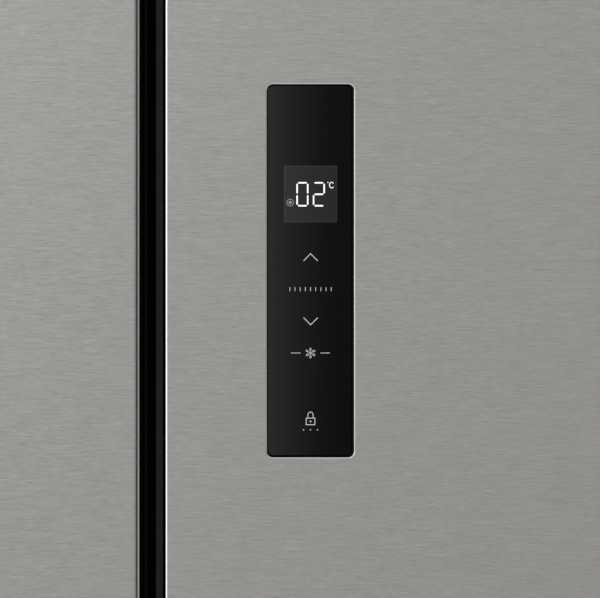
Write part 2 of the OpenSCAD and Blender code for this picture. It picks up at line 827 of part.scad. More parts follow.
module evaporator_fan_motor() {
    motor_y = evap_y + 18;
    color([0.30, 0.30, 0.32]) translate([cold_fan_x, motor_y, cold_fan_z]) {
        rotate([-90, 0, 0]) cylinder(h = room_back - seat_gap - motor_y, r = 20);
        translate([0, -12, 0]) rotate([-90, 0, 0]) cylinder(h = 13, r = shaft_r);
        for (a = [45:90:315]) rotate([0, a, 0])
            block([-4, room_back - seat_gap - motor_y - 6, 15], [4, room_back - seat_gap - motor_y, 58]);
    }
}

// Machine compartment

function grommet_places() = [for (x = [-76, 76], y = [-46, 46]) [compressor_x + x, compressor_y + y]];

module compressor() {
    plate = [184, 124, 3];
    color([0.10, 0.10, 0.11]) {
        difference() {
            translate([compressor_x - plate[0] / 2, compressor_y - plate[1] / 2, compressor_z]) cube(plate);
            for (p = grommet_places()) translate([p[0], p[1], compressor_z - 1]) cylinder(h = 6, r = 5);
        }
        translate([compressor_x, compressor_y, compressor_z]) {
            // Welded shell with its domed top
            rotate_extrude() {
                square([compressor_r, compressor_shell_h]);
                translate([0, 64]) square([compressor_r + 3, 5]);
                translate([0, compressor_shell_h]) intersection() {
                    square([compressor_r, compressor_dome_h]);
                    translate([0, -compressor_r * 0.35]) circle(r = compressor_r * 1.06, $fn = 96);
                }
            }
            // Pipe stubs and terminal box
            for (p = stubs) translate([p[0] * (compressor_r - 12), p[1], p[2]])
                rotate([0, p[0] * 90, 0]) cylinder(h = 12 + p[3], r = pipe_r);
            block([-terminal_w / 2, -compressor_r - terminal_out, terminal_z],
                  [terminal_w / 2, -compressor_r + 12, terminal_z + terminal_w]);
        }
    }
}

module compressor_grommets() {
    color([0.08, 0.08, 0.08]) for (p = grommet_places()) translate([p[0], p[1], pan_top]) {
        cylinder(h = grommet_t, r = 11);
        cylinder(h = grommet_t + 7, r = 4.7);
    }
}

// Condenser: fins on tube runs, standing on the pan.
module condenser() {
    w = condenser_size[0];
    fins = 20;
    fin_t = 1.2;
    pitch = (w - fin_t) / (fins - 1);
    color([0.45, 0.36, 0.28]) translate([condenser_x - w / 2, fan_y - condenser_size[1] / 2, pan_top]) {
        for (i = [0:fins - 1]) translate([i * pitch, 0, 0])
            cube([fin_t, condenser_size[1], condenser_size[2]]);
        for (y = condenser_tube_y, z = condenser_tube_z) translate([-condenser_tube_out, y, z])
            rotate([0, 90, 0]) cylinder(h = w + 2 * condenser_tube_out, r = pipe_r);
    }
}

// The point where a condenser tube ends, on the left or right side.
function tube_end(side, row, level) = [
    condenser_x + side * (condenser_size[0] / 2 + condenser_tube_out),
    fan_y - condenser_size[1] / 2 + condenser_tube_y[row],
    pan_top + condenser_tube_z[level]
];

// The point where a stub of the compressor ends.
function stub_end(i) = [
    compressor_x + stubs[i][0] * (compressor_r + stubs[i][3]),
    compressor_y + stubs[i][1],
    compressor_z + stubs[i][2]
];

// A straight run along one axis.
module straight(a, b, r) {
    d = b - a;
    turn = d[0] != 0 ? [0, 90 * sign(d[0]), 0]
        : d[1] != 0 ? [-90 * sign(d[1]), 0, 0] : [d[2] > 0 ? 0 : 180, 0, 0];
    translate(a) rotate(turn) cylinder(h = norm(d), r = r);
}

// Straight runs joined by brazed elbows.
module pipe(points) {
    for (i = [0:len(points) - 2]) straight(points[i], points[i + 1], pipe_r);
    for (i = [1:len(points) - 2]) translate(points[i]) sphere(pipe_r + 0.8);
}

module refrigerant_pipes() {
    drier_r = 9;
    wall_y = cab_back - machine_d + 14;
    out = stub_end(0);
    back = stub_end(1);
    cond_in = tube_end(1, 0, 2);
    cond_out = tube_end(-1, 2, 0);
    gap = 11;
    color([0.72, 0.45, 0.30]) {
        // Discharge line, round the front of the fan to the condenser
        pipe([out, [out[0] - 50, out[1], out[2]], [out[0] - 50, wall_y, out[2]],
              [cond_in[0] + gap, wall_y, out[2]],
              [cond_in[0] + gap, wall_y, cond_in[2]], [cond_in[0] + gap, cond_in[1], cond_in[2]], cond_in]);
        // Suction line, out of the foam
        pipe([back, [back[0] - 28, back[1], back[2]], [back[0] - 28, back[1], machine_top]]);
        // Liquid line, with the filter drier, into the foam
        pipe([cond_out, [cond_out[0] - 13, cond_out[1], cond_out[2]],
              [cond_out[0] - 13, cond_out[1], machine_top]]);
        translate([cond_out[0] - 13, cond_out[1], cond_out[2] + 40]) cylinder(h = 80, r = drier_r);
    }
}

// Box for the power electronics, under the ceiling of the compartment.
module power_board_box() {
    color([0.82, 0.82, 0.80])
    translate([condenser_x - power_box[0] / 2, fan_y - 50, machine_top - power_box[2]]) {
        cube(power_box);
        for (x = [0.15, 0.45, 0.75]) translate([x * power_box[0], power_box[1] - eps, 16]) cube([20, 5, 10]);
    }
}

module condenser_fan_frame() {
    frame_d = 8;
    half = cooling_fan_r + 12;
    color([0.22, 0.22, 0.23]) translate([fan_x, fan_y, 0]) {
        difference() {
            block([-half, 0, pan_top], [half, frame_d, fan_z + half]);
            translate([0, -1, fan_z]) rotate([-90, 0, 0]) cylinder(h = frame_d + 2, r = cooling_fan_r + 4);
        }
        block([-half, 0, pan_top], [half, 40, pan_top + 3]);
        translate([0, 20, fan_z]) rotate([-90, 0, 0]) cylinder(h = 34, r = 24);
        translate([0, 6, fan_z]) rotate([-90, 0, 0]) cylinder(h = 15, r = shaft_r);
        for (a = [45:90:315]) translate([0, 0, fan_z]) rotate([0, a, 0]) {
            block([-4, 24, 20], [4, 30, cooling_fan_r + 9]);
            block([-4, 7, cooling_fan_r + 5], [4, 30, cooling_fan_r + 9]);
        }
    }
}

module condenser_fan() {
    color([0.16, 0.16, 0.17]) translate([fan_x, fan_y - 1, fan_z]) rotor(cooling_fan_r, 18, 19, 7);
}

// Tray over the compressor that takes the defrost water.
module drip_tray() {
    color([0.85, 0.85, 0.84]) translate([compressor_x - tray_size[0] / 2, compressor_y - tray_size[1] / 2,
                                           compressor_z + compressor_shell_h + compressor_dome_h])
        tub(tray_size, 2, 12);
}

module machine_cover() {
    z = [pan_top, machine_top - 1];
    x = half_w - case_t - 0.2;
    color([0.30, 0.30, 0.31]) {
        difference() {
            block([-x, cab_back - machine_cover_t, z[0]], [x, cab_back, z[1]]);
            for (i = [0:23], k = [0:3]) translate([-345 + i * 30, 0, z[0] + 22 + k * 22])
                block([-10, cab_back - 5, -3], [10, cab_back + 5, 3]);
            translate([gland_x, cab_back, gland_z]) rotate([90, 0, 0]) cylinder(h = 20, r = 9, center = true);
            for (p = cover_screws()) translate([p[0], cab_back, p[1]])
                rotate([90, 0, 0]) cylinder(h = 20, r = screw_r + 0.3, center = true);
        }
        // Stand-off pads
        for (px = [-1, 0, 1]) translate([px * (half_w - 54), 0, 0])
            difference() {
                block([-14, cab_back - eps, z[1] - 70], [14, cab_back + spacer_d, z[1] - 30]);
                block([-11, cab_back - 2, z[1] - 67], [11, cab_back + spacer_d - 3, z[1] - 33]);
            }
    }
}

// Gland for the mains lead. The lead itself isn't part of the model.
module mains_gland() {
    color([0.06, 0.06, 0.06]) translate([gland_x, cab_back, gland_z]) rotate([-90, 0, 0]) difference() {
        union() {
            translate([0, 0, -4]) cylinder(h = 8, r = 8.8);
            cylinder(h = 3, r = 13);
            translate([0, 0, -machine_cover_t - 3]) cylinder(h = 3, r = 12);
            cylinder(h = 15, r1 = 9, r2 = 6.5);
        }
        translate([0, 0, -10]) cylinder(h = 40, r = 4);
    }
}

// Doors, in their own frame: u from the hinge side, v from the front

// Plan of everything inside the steel skin, apart from the grip profile.
module door_core(w) {
    difference() {
        translate([skin_t, skin_t]) front_rounded(w - 2 * skin_t, door_t - liner_t - skin_t, skin_r - skin_t);
        translate([w - groove_d - grip_wall, lip_d]) square([groove_d + grip_wall + 1, grip_back - lip_d]);
        translate([w - grip_wall, lip_d]) square([grip_wall + 1, door_t]);
        translate([w - hem, lip_d - skin_t]) square([hem + 1, skin_t + eps]);
    }
}

// Plan of the lip at the free edge: behind the corner it flares out into the gap.
module lip_plan(w) {
    flare_v = skin_r + lip_step;
    polygon([[w - skin_t, skin_r], [w, skin_r], [w, flare_v], [w + lip_flare, flare_v + lip_fall],
             [w + lip_flare, lip_d], [w - skin_t, lip_d]]);
}

module door_skin(w) {
    rise(door_bottom + cap_plate, door_top - cap_plate) {
        difference() {
            front_rounded(w, door_t - liner_t, skin_r);
            translate([skin_t, skin_t]) front_rounded(w - 2 * skin_t, door_t, skin_r - skin_t);
            translate([w - 2 * skin_t, skin_r + lip_step / 2]) square([3 * skin_t, door_t]);
        }
        difference() {
            lip_plan(w);
            translate([-skin_t, 0.4 * skin_t]) lip_plan(w);
        }
        translate([w - hem, lip_d - skin_t]) square([hem + lip_flare, skin_t]);
    }
}

module ring_walls(w, g, v0, v1) {
    difference() {
        block([ring_hinge + g, v0, door_bottom + ring_low + g],
              [w - ring_free - g, v1, door_top - ring_high - g]);
        block([ring_hinge + ring_w - g, v0 - 1, door_bottom + ring_low + ring_w - g],
              [w - ring_free - ring_w + g, v1 + 1, door_top - ring_high - ring_w + g]);
    }
}

module door_insulation(w) {
    rise(door_bottom + cap_h, door_top - cap_h) door_core(w);
    ring_walls(w, liner_t, door_t - liner_t - eps, door_t + ring_h - liner_t);
}

module door_liner(w) {
    difference() {
        union() {
            block([0, door_t - liner_t, door_bottom + cap_plate], [w, door_t, door_top - cap_plate]);
            ring_walls(w, 0, door_t - eps, door_t + ring_h);
            // Ribs that the bins hang on
            for (i = [0:bins - 1], side = [0, 1]) {
                z = bin_z(i) + bin_h * 0.55;
                u = side == 0 ? ring_hinge + ring_w - eps : w - ring_free - ring_w - 3;
                block([u, door_t + 8, z - 12], [u + 3 + eps, door_t + 14, z]);
            }
        }
        ring_walls(w, liner_t, door_t - liner_t - 1, door_t + ring_h - liner_t);
    }
}

module door_seal(w) {
    u = [seal_inset, w - seal_free_inset];
    z = [door_bottom + seal_inset, door_top - seal_inset];
    layers = [[0, 0, 3], [3.5, 2.9, seal_t - 5.9], [0, seal_t - 6, seal_t - seat_gap]];
    for (l = layers) difference() {
        block([u[0] + l[0], door_t + l[1], z[0] + l[0]], [u[1] - l[0], door_t + l[2], z[1] - l[0]]);
        block([u[0] + seal_w - l[0], door_t - 1, z[0] + seal_w - l[0]],
              [u[1] - seal_w + l[0], door_t + seal_t + 1, z[1] - seal_w + l[0]]);
    }
}

module door_caps(w) {
    for (top = [false, true]) {
        outer = top ? door_top : door_bottom;
        dir = top ? -1 : 1;
        difference() {
            union() {
                rise(min(outer, outer + dir * cap_plate), max(outer, outer + dir * cap_plate)) {
                    front_rounded(w, door_t, skin_r);
                    lip_plan(w);
                }
                rise(min(outer + dir * (cap_plate - eps), outer + dir * cap_h),
                     max(outer + dir * (cap_plate - eps), outer + dir * cap_h)) door_core(w);
            }
            translate([pivot_side, pivot_front, outer])
                cylinder(h = 2 * (pin_reach + 1.5), r = pin_r + running_gap, center = true);
        }
    }
}

// The grip: a groove behind the steel lip, with a round-edged ridge that reaches into the gap.
module door_grip(w, out) {
    inner = w - groove_d - grip_wall;
    ridge_w = out - ridge_in;
    rise(door_bottom + cap_plate, door_top - cap_plate) {
        translate([inner, lip_d]) square([w + lip_flare - inner, grip_wall]);
        translate([inner, lip_d]) square([grip_wall, grip_back - lip_d]);
        translate([inner, floor_v]) square([w - inner + out, groove_floor_t]);
        translate([w + ridge_in, ridge_v]) front_rounded(ridge_w, ridge_up + groove_floor_t, ridge_r);
        translate([w - grip_wall, floor_v]) square([grip_wall, door_t - liner_t - floor_v]);
    }
}

// Underside of a bin. The lowest stands over the ring, the next one clears the upper drawers.
function bin_z(i) = i == 0 ? room_floor + ring_gap + ring_w + bin_first
    : upper_drawer_top + bin_clear + (i - 1) * bin_pitch;

module door_bins(w) {
    u = [ring_hinge + ring_w + seat_gap, w - ring_free - ring_w - seat_gap];
    rib_w = 3 + seat_gap;
    for (i = [0:bins - 1]) translate([u[0], door_t + seat_gap, bin_z(i)]) difference() {
        union() {
            tub([u[1] - u[0], bin_d, bin_h], bin_wall, 12);
            // Thick pads at the sides, which slide down over the liner's ribs
            for (pu = [0, u[1] - u[0] - 8]) block([pu, 3, bin_h * 0.3], [pu + 8, 22, bin_h]);
        }
        for (pu = [-1, u[1] - u[0] - rib_w]) block([pu, 8 - 2 * seat_gap, -1],
                                                   [pu + rib_w + 1, 14, bin_h * 0.55 + seat_gap]);
    }
}

module freezer_door_skin() {
    color([0.62, 0.61, 0.60]) on_side(-1) door_skin(freezer_door_w);
}

module freezer_door_insulation() {
    color([0.92, 0.88, 0.66]) on_side(-1) door_insulation(freezer_door_w);
}

module freezer_door_liner() {
    color([0.93, 0.93, 0.92]) on_side(-1) door_liner(freezer_door_w);
}

module freezer_door_seal() {
    color([0.55, 0.55, 0.56]) on_side(-1) door_seal(freezer_door_w);
}

module freezer_door_caps() {
    color([0.30, 0.30, 0.31]) on_side(-1) door_caps(freezer_door_w);
}

module freezer_door_grip() {
    color([0.07, 0.07, 0.08]) on_side(-1) door_grip(freezer_door_w, freezer_ridge_out);
}

module freezer_door_bins() {
    color([0.86, 0.91, 0.94, 0.6]) on_side(-1) door_bins(freezer_door_w);
}

// The fridge door, with the control panel near its free edge

// A plate of the window's shape, grown by g, between two depths behind the door's front.
module panel_plate(g, v0, v1) {
    w = panel_w + 2 * g;
    h = panel_h + 2 * g;
    translate([fridge_door_w - panel_edge - panel_w - g, 0, panel_z - h / 2])
        deep(v0, v1) rounded_rect(w, h, panel_r + g);
}

housing_wall = 2;
housing_rim = 5;

module fridge_door_skin() {
    color([0.62, 0.61, 0.60]) on_side(1) difference() {
        door_skin(fridge_door_w);
        panel_plate(0, -1, skin_t + 1);
    }
}

module fridge_door_insulation() {
    color([0.92, 0.88, 0.66]) on_side(1) difference() {
        door_insulation(fridge_door_w);
        panel_plate(housing_rim, 0, housing_d + skin_t);
    }
}

module fridge_door_liner() {
    color([0.93, 0.93, 0.92]) on_side(1) door_liner(fridge_door_w);
}

module fridge_door_seal() {
    color([0.55, 0.55, 0.56]) on_side(1) door_seal(fridge_door_w);
}

module fridge_door_caps() {
    color([0.30, 0.30, 0.31]) on_side(1) door_caps(fridge_door_w);
}

module fridge_door_grip() {
    color([0.07, 0.07, 0.08]) on_side(1) door_grip(fridge_door_w, fridge_ridge_out);
}

module fridge_door_bins() {
    color([0.86, 0.91, 0.94, 0.6]) on_side(1) door_bins(fridge_door_w);
}

glass_back = panel_sink + panel_glass_t;
board_v = [14, 15.6];

// Tray behind the window: its rim shows as a thin black line round the glass.
module control_housing() {
    color([0.02, 0.02, 0.02]) on_side(1) difference() {
        union() {
            panel_plate(housing_rim, skin_t, housing_d + skin_t);
            panel_plate(-0.05, 2 * panel_sink, skin_t + 1);
        }
        panel_plate(-panel_line, 0, glass_back);
        panel_plate(-panel_line - 1, glass_back - 1, board_v[0]);
        panel_plate(-panel_line, board_v[0], housing_d + skin_t - housing_wall);
    }
}

module control_glass() {
    color([0.05, 0.05, 0.05]) on_side(1) panel_plate(-panel_line - 0.05, panel_sink, glass_back);
}

module display_module() {
    mid_u = fridge_door_w - panel_edge - panel_w / 2;
    mid_z = panel_z + display_up;
    color([0.16, 0.16, 0.16]) on_side(1) {
        block([mid_u - display_w / 2, glass_back, mid_z - display_h / 2],
              [mid_u + display_w / 2, glass_back + 7, mid_z + display_h / 2]);
        for (z = [-1, 1], u = [-1, 1])
            translate([mid_u + u * (display_w / 2 - 3), glass_back + 6, mid_z + z * (display_h / 2 - 3)])
                rotate([-90, 0, 0]) cylinder(h = board_v[0] - glass_back - 6, r = 1);
    }
}

module control_board() {
    mid_u = fridge_door_w - panel_edge - panel_w / 2;
    w = panel_w - 2 * panel_line - 1;
    h = panel_h - 2 * panel_line - 8;
    color([0.10, 0.28, 0.16]) on_side(1) {
        block([mid_u - w / 2, board_v[0], panel_z - h / 2], [mid_u + w / 2, board_v[1], panel_z + h / 2]);
        for (z = [-80, -40, 0]) block([mid_u - 7, board_v[1] - eps, panel_z + z - 7],
                                      [mid_u + 7, board_v[1] + 1.5, panel_z + z + 7]);
        block([mid_u - 12, board_v[1] - eps, panel_z - h / 2 + 4],
              [mid_u + 12, housing_d + skin_t - housing_wall - 0.3, panel_z - h / 2 + 12]);
    }
}

outer_case();
rear_panel();
cabinet_insulation();
freezer_liner();
fridge_liner();
divider_cover();
chassis();
kickplate();
top_hinge(-1);  // top_hinge_left
top_hinge(1);  // top_hinge_right
hinge_covers();
bottom_hinge(-1);  // bottom_hinge_left
bottom_hinge(1);  // bottom_hinge_right
cabinet_screws();
freezer_shelves();
freezer_shelf_trims();
fridge_shelves();
fridge_shelf_trims();
freezer_duct_cover();
fridge_duct_cover();
interior_lamps();
evaporator();
evaporator_fan_motor();
evaporator_fan();
compressor();
compressor_grommets();
condenser();
condenser_fan_frame();
condenser_fan();
refrigerant_pipes();
drip_tray();
power_board_box();
machine_cover();
mains_gland();
foot(-1);  // foot_left
foot(1);  // foot_right
roller(-1);  // roller_left
roller(1);  // roller_right
freezer_drawer_lower();
freezer_drawer_upper();
crisper_lower();
crisper_upper();
freezer_door_skin();
freezer_door_insulation();
freezer_door_liner();
freezer_door_seal();
freezer_door_caps();
freezer_door_grip();
freezer_door_bins();
fridge_door_skin();
fridge_door_insulation();
fridge_door_liner();
fridge_door_seal();
fridge_door_caps();
fridge_door_grip();
fridge_door_bins();
control_housing();
control_glass();
display_module();
control_board();
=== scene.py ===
"""A side-by-side fridge freezer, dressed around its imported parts.

Sizes are in metres. X runs across the doors, Y into the cabinet and Z up.
"""

import json
import math

import bmesh
import bpy
from bpy.props import FloatProperty, FloatVectorProperty, IntProperty, PointerProperty
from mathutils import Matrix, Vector

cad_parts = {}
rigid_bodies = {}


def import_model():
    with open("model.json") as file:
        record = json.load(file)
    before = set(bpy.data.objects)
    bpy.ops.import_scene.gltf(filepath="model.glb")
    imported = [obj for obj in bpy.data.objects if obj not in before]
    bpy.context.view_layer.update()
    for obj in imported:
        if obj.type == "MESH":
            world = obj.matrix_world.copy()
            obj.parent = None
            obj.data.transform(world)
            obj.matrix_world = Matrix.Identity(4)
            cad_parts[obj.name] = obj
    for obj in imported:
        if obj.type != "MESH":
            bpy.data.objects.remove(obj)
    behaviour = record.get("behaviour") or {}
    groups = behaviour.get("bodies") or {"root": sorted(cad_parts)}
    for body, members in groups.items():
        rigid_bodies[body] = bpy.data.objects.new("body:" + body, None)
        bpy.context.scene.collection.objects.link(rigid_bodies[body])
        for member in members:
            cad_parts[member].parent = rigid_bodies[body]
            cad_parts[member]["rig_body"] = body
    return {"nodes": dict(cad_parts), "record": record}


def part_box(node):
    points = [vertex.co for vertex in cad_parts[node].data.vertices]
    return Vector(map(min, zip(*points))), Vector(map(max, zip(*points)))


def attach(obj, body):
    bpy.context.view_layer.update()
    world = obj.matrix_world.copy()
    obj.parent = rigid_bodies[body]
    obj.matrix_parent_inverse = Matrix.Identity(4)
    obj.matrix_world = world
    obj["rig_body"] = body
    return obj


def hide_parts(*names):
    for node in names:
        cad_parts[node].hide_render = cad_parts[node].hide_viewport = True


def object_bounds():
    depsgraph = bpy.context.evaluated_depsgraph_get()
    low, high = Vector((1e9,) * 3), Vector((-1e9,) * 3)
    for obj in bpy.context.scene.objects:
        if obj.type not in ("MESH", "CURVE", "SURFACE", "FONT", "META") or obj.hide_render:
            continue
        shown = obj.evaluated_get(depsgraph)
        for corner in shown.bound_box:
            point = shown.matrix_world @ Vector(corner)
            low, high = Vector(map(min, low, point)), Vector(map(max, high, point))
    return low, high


bl_info = {
    "name": "Fridge freezer",
    "version": (1, 0, 0),
    "blender": (4, 5, 0),
    "location": "3D View > Sidebar > Fridge",
    "description": "Dresses a side-by-side fridge freezer in steel, plastic and glass",
    "category": "Object",
}

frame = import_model()
CAD_LOW, CAD_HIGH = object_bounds()
SLOT_OF = {p["node"]: p["material_slot"] for p in frame["record"]["subparts"]}
COLOUR_OF = {m["slot"]: m["base_color"][:3] for m in frame["record"]["materials"]}

# Each door's outer side and the direction from there to its free edge, and its width
SIDES = {"freezer_door": (CAD_LOW.x, 1), "fridge_door": (CAD_HIGH.x, -1)}
DOOR_W = {"freezer_door": 0.3852, "fridge_door": 0.5052}

# The doors' steel: where its front lies, its thickness, how deep its sides run, and its outer fold
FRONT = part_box("freezer_door_skin")[0].y
SKIN_T = 0.001
SKIN_BACK = 0.073
FOLD_R = 0.002
# The lip's wall beside the gap has a corner at the front and one where the flare starts, each as
# (past the door's edge, behind the front, radius). The freezer door has a broad corner and a wall
# that leans. The fridge door has a sharp corner and a square wall.
LIP_WALL = {
    "freezer_door": ((-0.0004, 0.0, 0.0018), (0.0002, 0.0032, 0.0003)),
    "fridge_door": ((0.00013, 0.0, 0.0003), (0.00013, 0.0028, 0.0003)),
}
# The flare after the wall: how far it stands past the door's edge, and how deep it runs
FLARE_OUT = {"freezer_door": 0.0012, "fridge_door": 0.00103}
FLARE_DEEP = {"freezer_door": 0.00081, "fridge_door": 0.00064}
# The lip's depth, and the hem that is turned back behind the door
LIP_D = 0.012
HEM = 0.006

# The black grips: how far they stand past the door's edge, their wall and their groove
GRIP_OUT = 0.0012
GRIP_WALL = 0.0025
GROOVE_D = 0.016
GROOVE_FLOOR = 0.0385
GROOVE_FLOOR_T = 0.003
# The ridge in the gap: its sides past the door's edge, its top behind the front, and its radius
RIDGE_IN = {"freezer_door": 0.0032, "fridge_door": 0.00295}
RIDGE_OUT = {"freezer_door": 0.0057, "fridge_door": 0.0073}
RIDGE_TOP = 0.0325
RIDGE_R = 0.0006
# Where the freezer door's ridge has ended and the fridge door's hasn't started, along X
RIDGE_SPLIT = (-0.0615, -0.0610)

# The window of the control panel, and the display in it
WINDOW_X = (0.0064, 0.0566)
WINDOW_Z = (1.222, 1.438)
WINDOW_R = 0.0035
DISPLAY_X = (0.0164, 0.0472)
DISPLAY_Z = (1.358, 1.3908)
# The opening in the steel, and the rim pressed round it: its width and depth
OPENING_X = (0.00647, 0.05708)
OPENING_Z = (1.22158, 1.43815)
RIM_W = 0.00064
RIM_D = 0.0005
# The glass: the dark gap that is left round it, and its round edge
GLASS_GAP = 0.0002
GLASS_R = 0.0006

# A hair's breadth, by which a mask or a mark clears the face that it belongs to
HAIR = 0.00002
# Half the width over which a mask's edge fades
SOFT = 0.00005
# A mark on the glass: where its back lies, just in the glass, and its face, just in front of it
GLASS_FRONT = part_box("control_glass")[0].y
MARK_Y = (GLASS_FRONT + HAIR, GLASS_FRONT - 0.00005)
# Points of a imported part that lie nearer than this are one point
MERGE_D = 2e-6


class Value:
    """A shader socket that can be used in sums. Each operator adds a Math node."""

    def __init__(self, graph, socket):
        self.graph = graph
        self.socket = socket

    def __add__(self, other):
        return self.graph.sum_of("ADD", self, other)

    def __sub__(self, other):
        return self.graph.sum_of("SUBTRACT", self, other)

    def __rsub__(self, other):
        return self.graph.sum_of("SUBTRACT", other, self)

    def __mul__(self, other):
        return self.graph.sum_of("MULTIPLY", self, other)

    __radd__ = __add__
    __rmul__ = __mul__


class Graph:
    """The node tree of one material or world, cleared and ready."""

    def __init__(self, tree):
        self.tree = tree
        tree.nodes.clear()

    def node(self, kind, settings=None, inputs=None, output=0):
        """Adds a node: its settings first, then its sockets' values or links."""
        made = self.tree.nodes.new(kind)
        for name, value in (settings or {}).items():
            setattr(made, name, value)
        for key, value in (inputs or {}).items():
            if isinstance(value, Value):
                self.tree.links.new(value.socket, made.inputs[key])
            else:
                made.inputs[key].default_value = value
        return Value(self, made.outputs[output]) if made.outputs else None

    def sum_of(self, operation, first, second):
        """A Math node with two values."""
        return self.node("ShaderNodeMath", {"operation": operation}, {0: first, 1: second})

    def place(self, scale):
        """The point on the piece, in metres, stretched by scale."""
        point = self.node("ShaderNodeTexCoord", output="Object")
        return self.node("ShaderNodeMapping", None, {"Vector": point, "Scale": scale})

    def axis(self, i):
        """One coordinate of the point on the piece: 0 for X, 1 for Y, 2 for Z."""
        point = self.node("ShaderNodeTexCoord", output="Object")
        return self.node("ShaderNodeSeparateXYZ", None, {0: point}, output=i)

    def noise(self, scale, detail):
        """Soft noise around 0.5 with that many features a metre, or one number for each axis."""
        point = self.place(scale if isinstance(scale, tuple) else (scale, scale, scale))
        inputs = {"Vector": point, "Scale": 1.0, "Detail": detail}
        return self.node("ShaderNodeTexNoise", None, inputs)

    def cells(self, scale):
        """Distance to the nearest of scattered points, for pits and grains."""
        point = self.place((scale, scale, scale))
        return self.node("ShaderNodeTexVoronoi", None, {"Vector": point, "Scale": 1.0})

    def ramp(self, value, low, high, start=0.0, end=1.0):
        """Value carried from low..high to start..end, and kept in it."""
        return self.node(
            "ShaderNodeMapRange",
            {"clamp": True},
            {"Value": value, "From Min": low, "From Max": high, "To Min": start, "To Max": end},
        )

    def inside(self, value, low, high, soft):
        """1 between low and high, 0 outside, with soft edges."""
        rise = self.ramp(value, low - soft, low + soft)
        return rise * self.ramp(value, high - soft, high + soft, 1.0, 0.0)

    def mix(self, factor, first, second):
        """A colour between two colours. The node's colours are its inputs 6 and 7 and output 2."""
        colours = [c if isinstance(c, Value) else (*c, 1.0) for c in (first, second)]
        return self.node(
            "ShaderNodeMix",
            {"data_type": "RGBA"},
            {0: factor, 6: colours[0], 7: colours[1]},
            output=2,
        )

    def tint(self, colour, value, amount):
        """Colour made lighter and darker by amount as value moves about 0.5."""
        dark = tuple(c * (1 - amount) for c in colour)
        light = tuple(min(1.0, c * (1 + amount)) for c in colour)
        return self.mix(value, dark, light)

    def bump(self, height, strength, distance):
        """A normal bent by the height, at most distance metres high."""
        inputs = {"Height": height, "Strength": strength, "Distance": distance}
        return self.node("ShaderNodeBump", None, inputs)


def material(name, build):
    """A material whose surface has the sockets that build(graph) returns."""
    made = bpy.data.materials.new(name)
    made.use_nodes = True
    graph = Graph(made.node_tree)
    surface = graph.node("ShaderNodeBsdfPrincipled", None, build(graph))
    graph.node("ShaderNodeOutputMaterial", None, {"Surface": surface})
    return made


# Finishes

FINISHES = {}


def finish(name):
    """Registers the function that builds the finish of a slot or of the panel's marks."""

    def register_build(build):
        FINISHES[name] = build
        return build

    return register_build


def look_of():
    """The colours and finishes as they are set in the scene."""
    return bpy.context.scene.fridge_finish


@finish("steel_front")
def brushed_steel(g):
    """Hairlines along X on the flat of the doors. The lips and the window's rim are polished."""
    look = look_of()
    fine = g.noise((210, 210, 4200), 2.0)
    hair = g.noise((70, 70, 2300), 2.0)
    line = fine * 0.6 + hair * 0.4
    gap_left, gap_right = (at_door(door, DOOR_W[door] + HAIR, 0)[0] for door in SIDES)
    x = g.axis(0)
    lips = g.inside(x, gap_left, gap_right, HAIR / 2)
    behind = g.ramp(g.axis(1), FRONT + HAIR, FRONT + SOFT)
    rim = behind * g.inside(x, OPENING_X[0] - RIM_W, OPENING_X[1] + RIM_W, SOFT)
    polish = g.sum_of("MAXIMUM", lips, rim)
    brushed = g.tint(look.steel, g.ramp(line, 0.3, 0.7), look.hairline)
    blur = look.steel_roughness + (line - 0.5) * 0.2
    return {
        "Base Color": g.mix(polish, brushed, look.polished),
        "Metallic": 1.0,
        "Roughness": blur * (1 - polish) + polish * 0.1,
        "Normal": g.bump(line * (1 - polish), 0.12, 0.00004),
    }


def painted(g, slot, roughness, peel, amount):
    """Sprayed sheet metal with a little orange peel."""
    skin = g.noise(peel, 2.0)
    cloud = g.noise(5, 2.0)
    return {
        "Base Color": g.tint(COLOUR_OF[slot], cloud, amount),
        "Roughness": roughness + (cloud - 0.5) * 0.12,
        "Normal": g.bump(skin, 0.12, 0.0002),
    }


def moulded(g, slot, roughness):
    """Moulded plastic: fine spark-eroded grain and slow changes of tone."""
    pits = g.noise(1400, 3.0)
    cloud = g.noise(9, 2.0)
    return {
        "Base Color": g.tint(COLOUR_OF[slot], cloud * 0.7 + pits * 0.3, 0.05),
        "Roughness": roughness + (pits - 0.5) * 0.1,
        "Specular IOR Level": 0.5,
        "Normal": g.bump(pits, 0.15, 0.00012),
    }


def metal(g, slot, roughness, stretch, amount):
    """Bare metal with rolling marks."""
    marks = g.noise(stretch, 3.0)
    spangle = g.noise(45, 2.0)
    return {
        "Base Color": g.tint(COLOUR_OF[slot], marks * 0.5 + spangle * 0.5, amount),
        "Metallic": 1.0,
        "Roughness": roughness + (spangle - 0.5) * 0.2,
        "Normal": g.bump(marks, 0.08, 0.0001),
    }


# Slots with a plain finish: its kind and its values
PLAIN = {
    "case_paint": (painted, 0.38, 420, 0.05),
    "rear_sheet": (painted, 0.5, 260, 0.05),
    "compressor_black": (painted, 0.3, 160, 0.15),
    "condenser_paint": (painted, 0.45, 300, 0.2),
    "zinc_steel": (metal, 0.42, (40, 40, 40), 0.12),
    "fin_aluminium": (metal, 0.38, (90, 90, 500), 0.08),
    "dark_plastic": (moulded, 0.48),
    "trim_plastic": (moulded, 0.34),
    "duct_plastic": (moulded, 0.38),
    "motor_black": (moulded, 0.5),
    "tray_plastic": (moulded, 0.45),
    "display_black": (moulded, 0.5),
}


@finish("foam")
def foam(g):
    """Rigid foam: closed cells that show as fine pits."""
    cell = g.cells(420)
    cloud = g.noise(14, 3.0)
    return {
        "Base Color": g.tint(COLOUR_OF["foam"], cloud * 0.6 + cell * 0.4, 0.1),
        "Roughness": 0.85,
        "Normal": g.bump(cell, 0.5, 0.0006),
    }


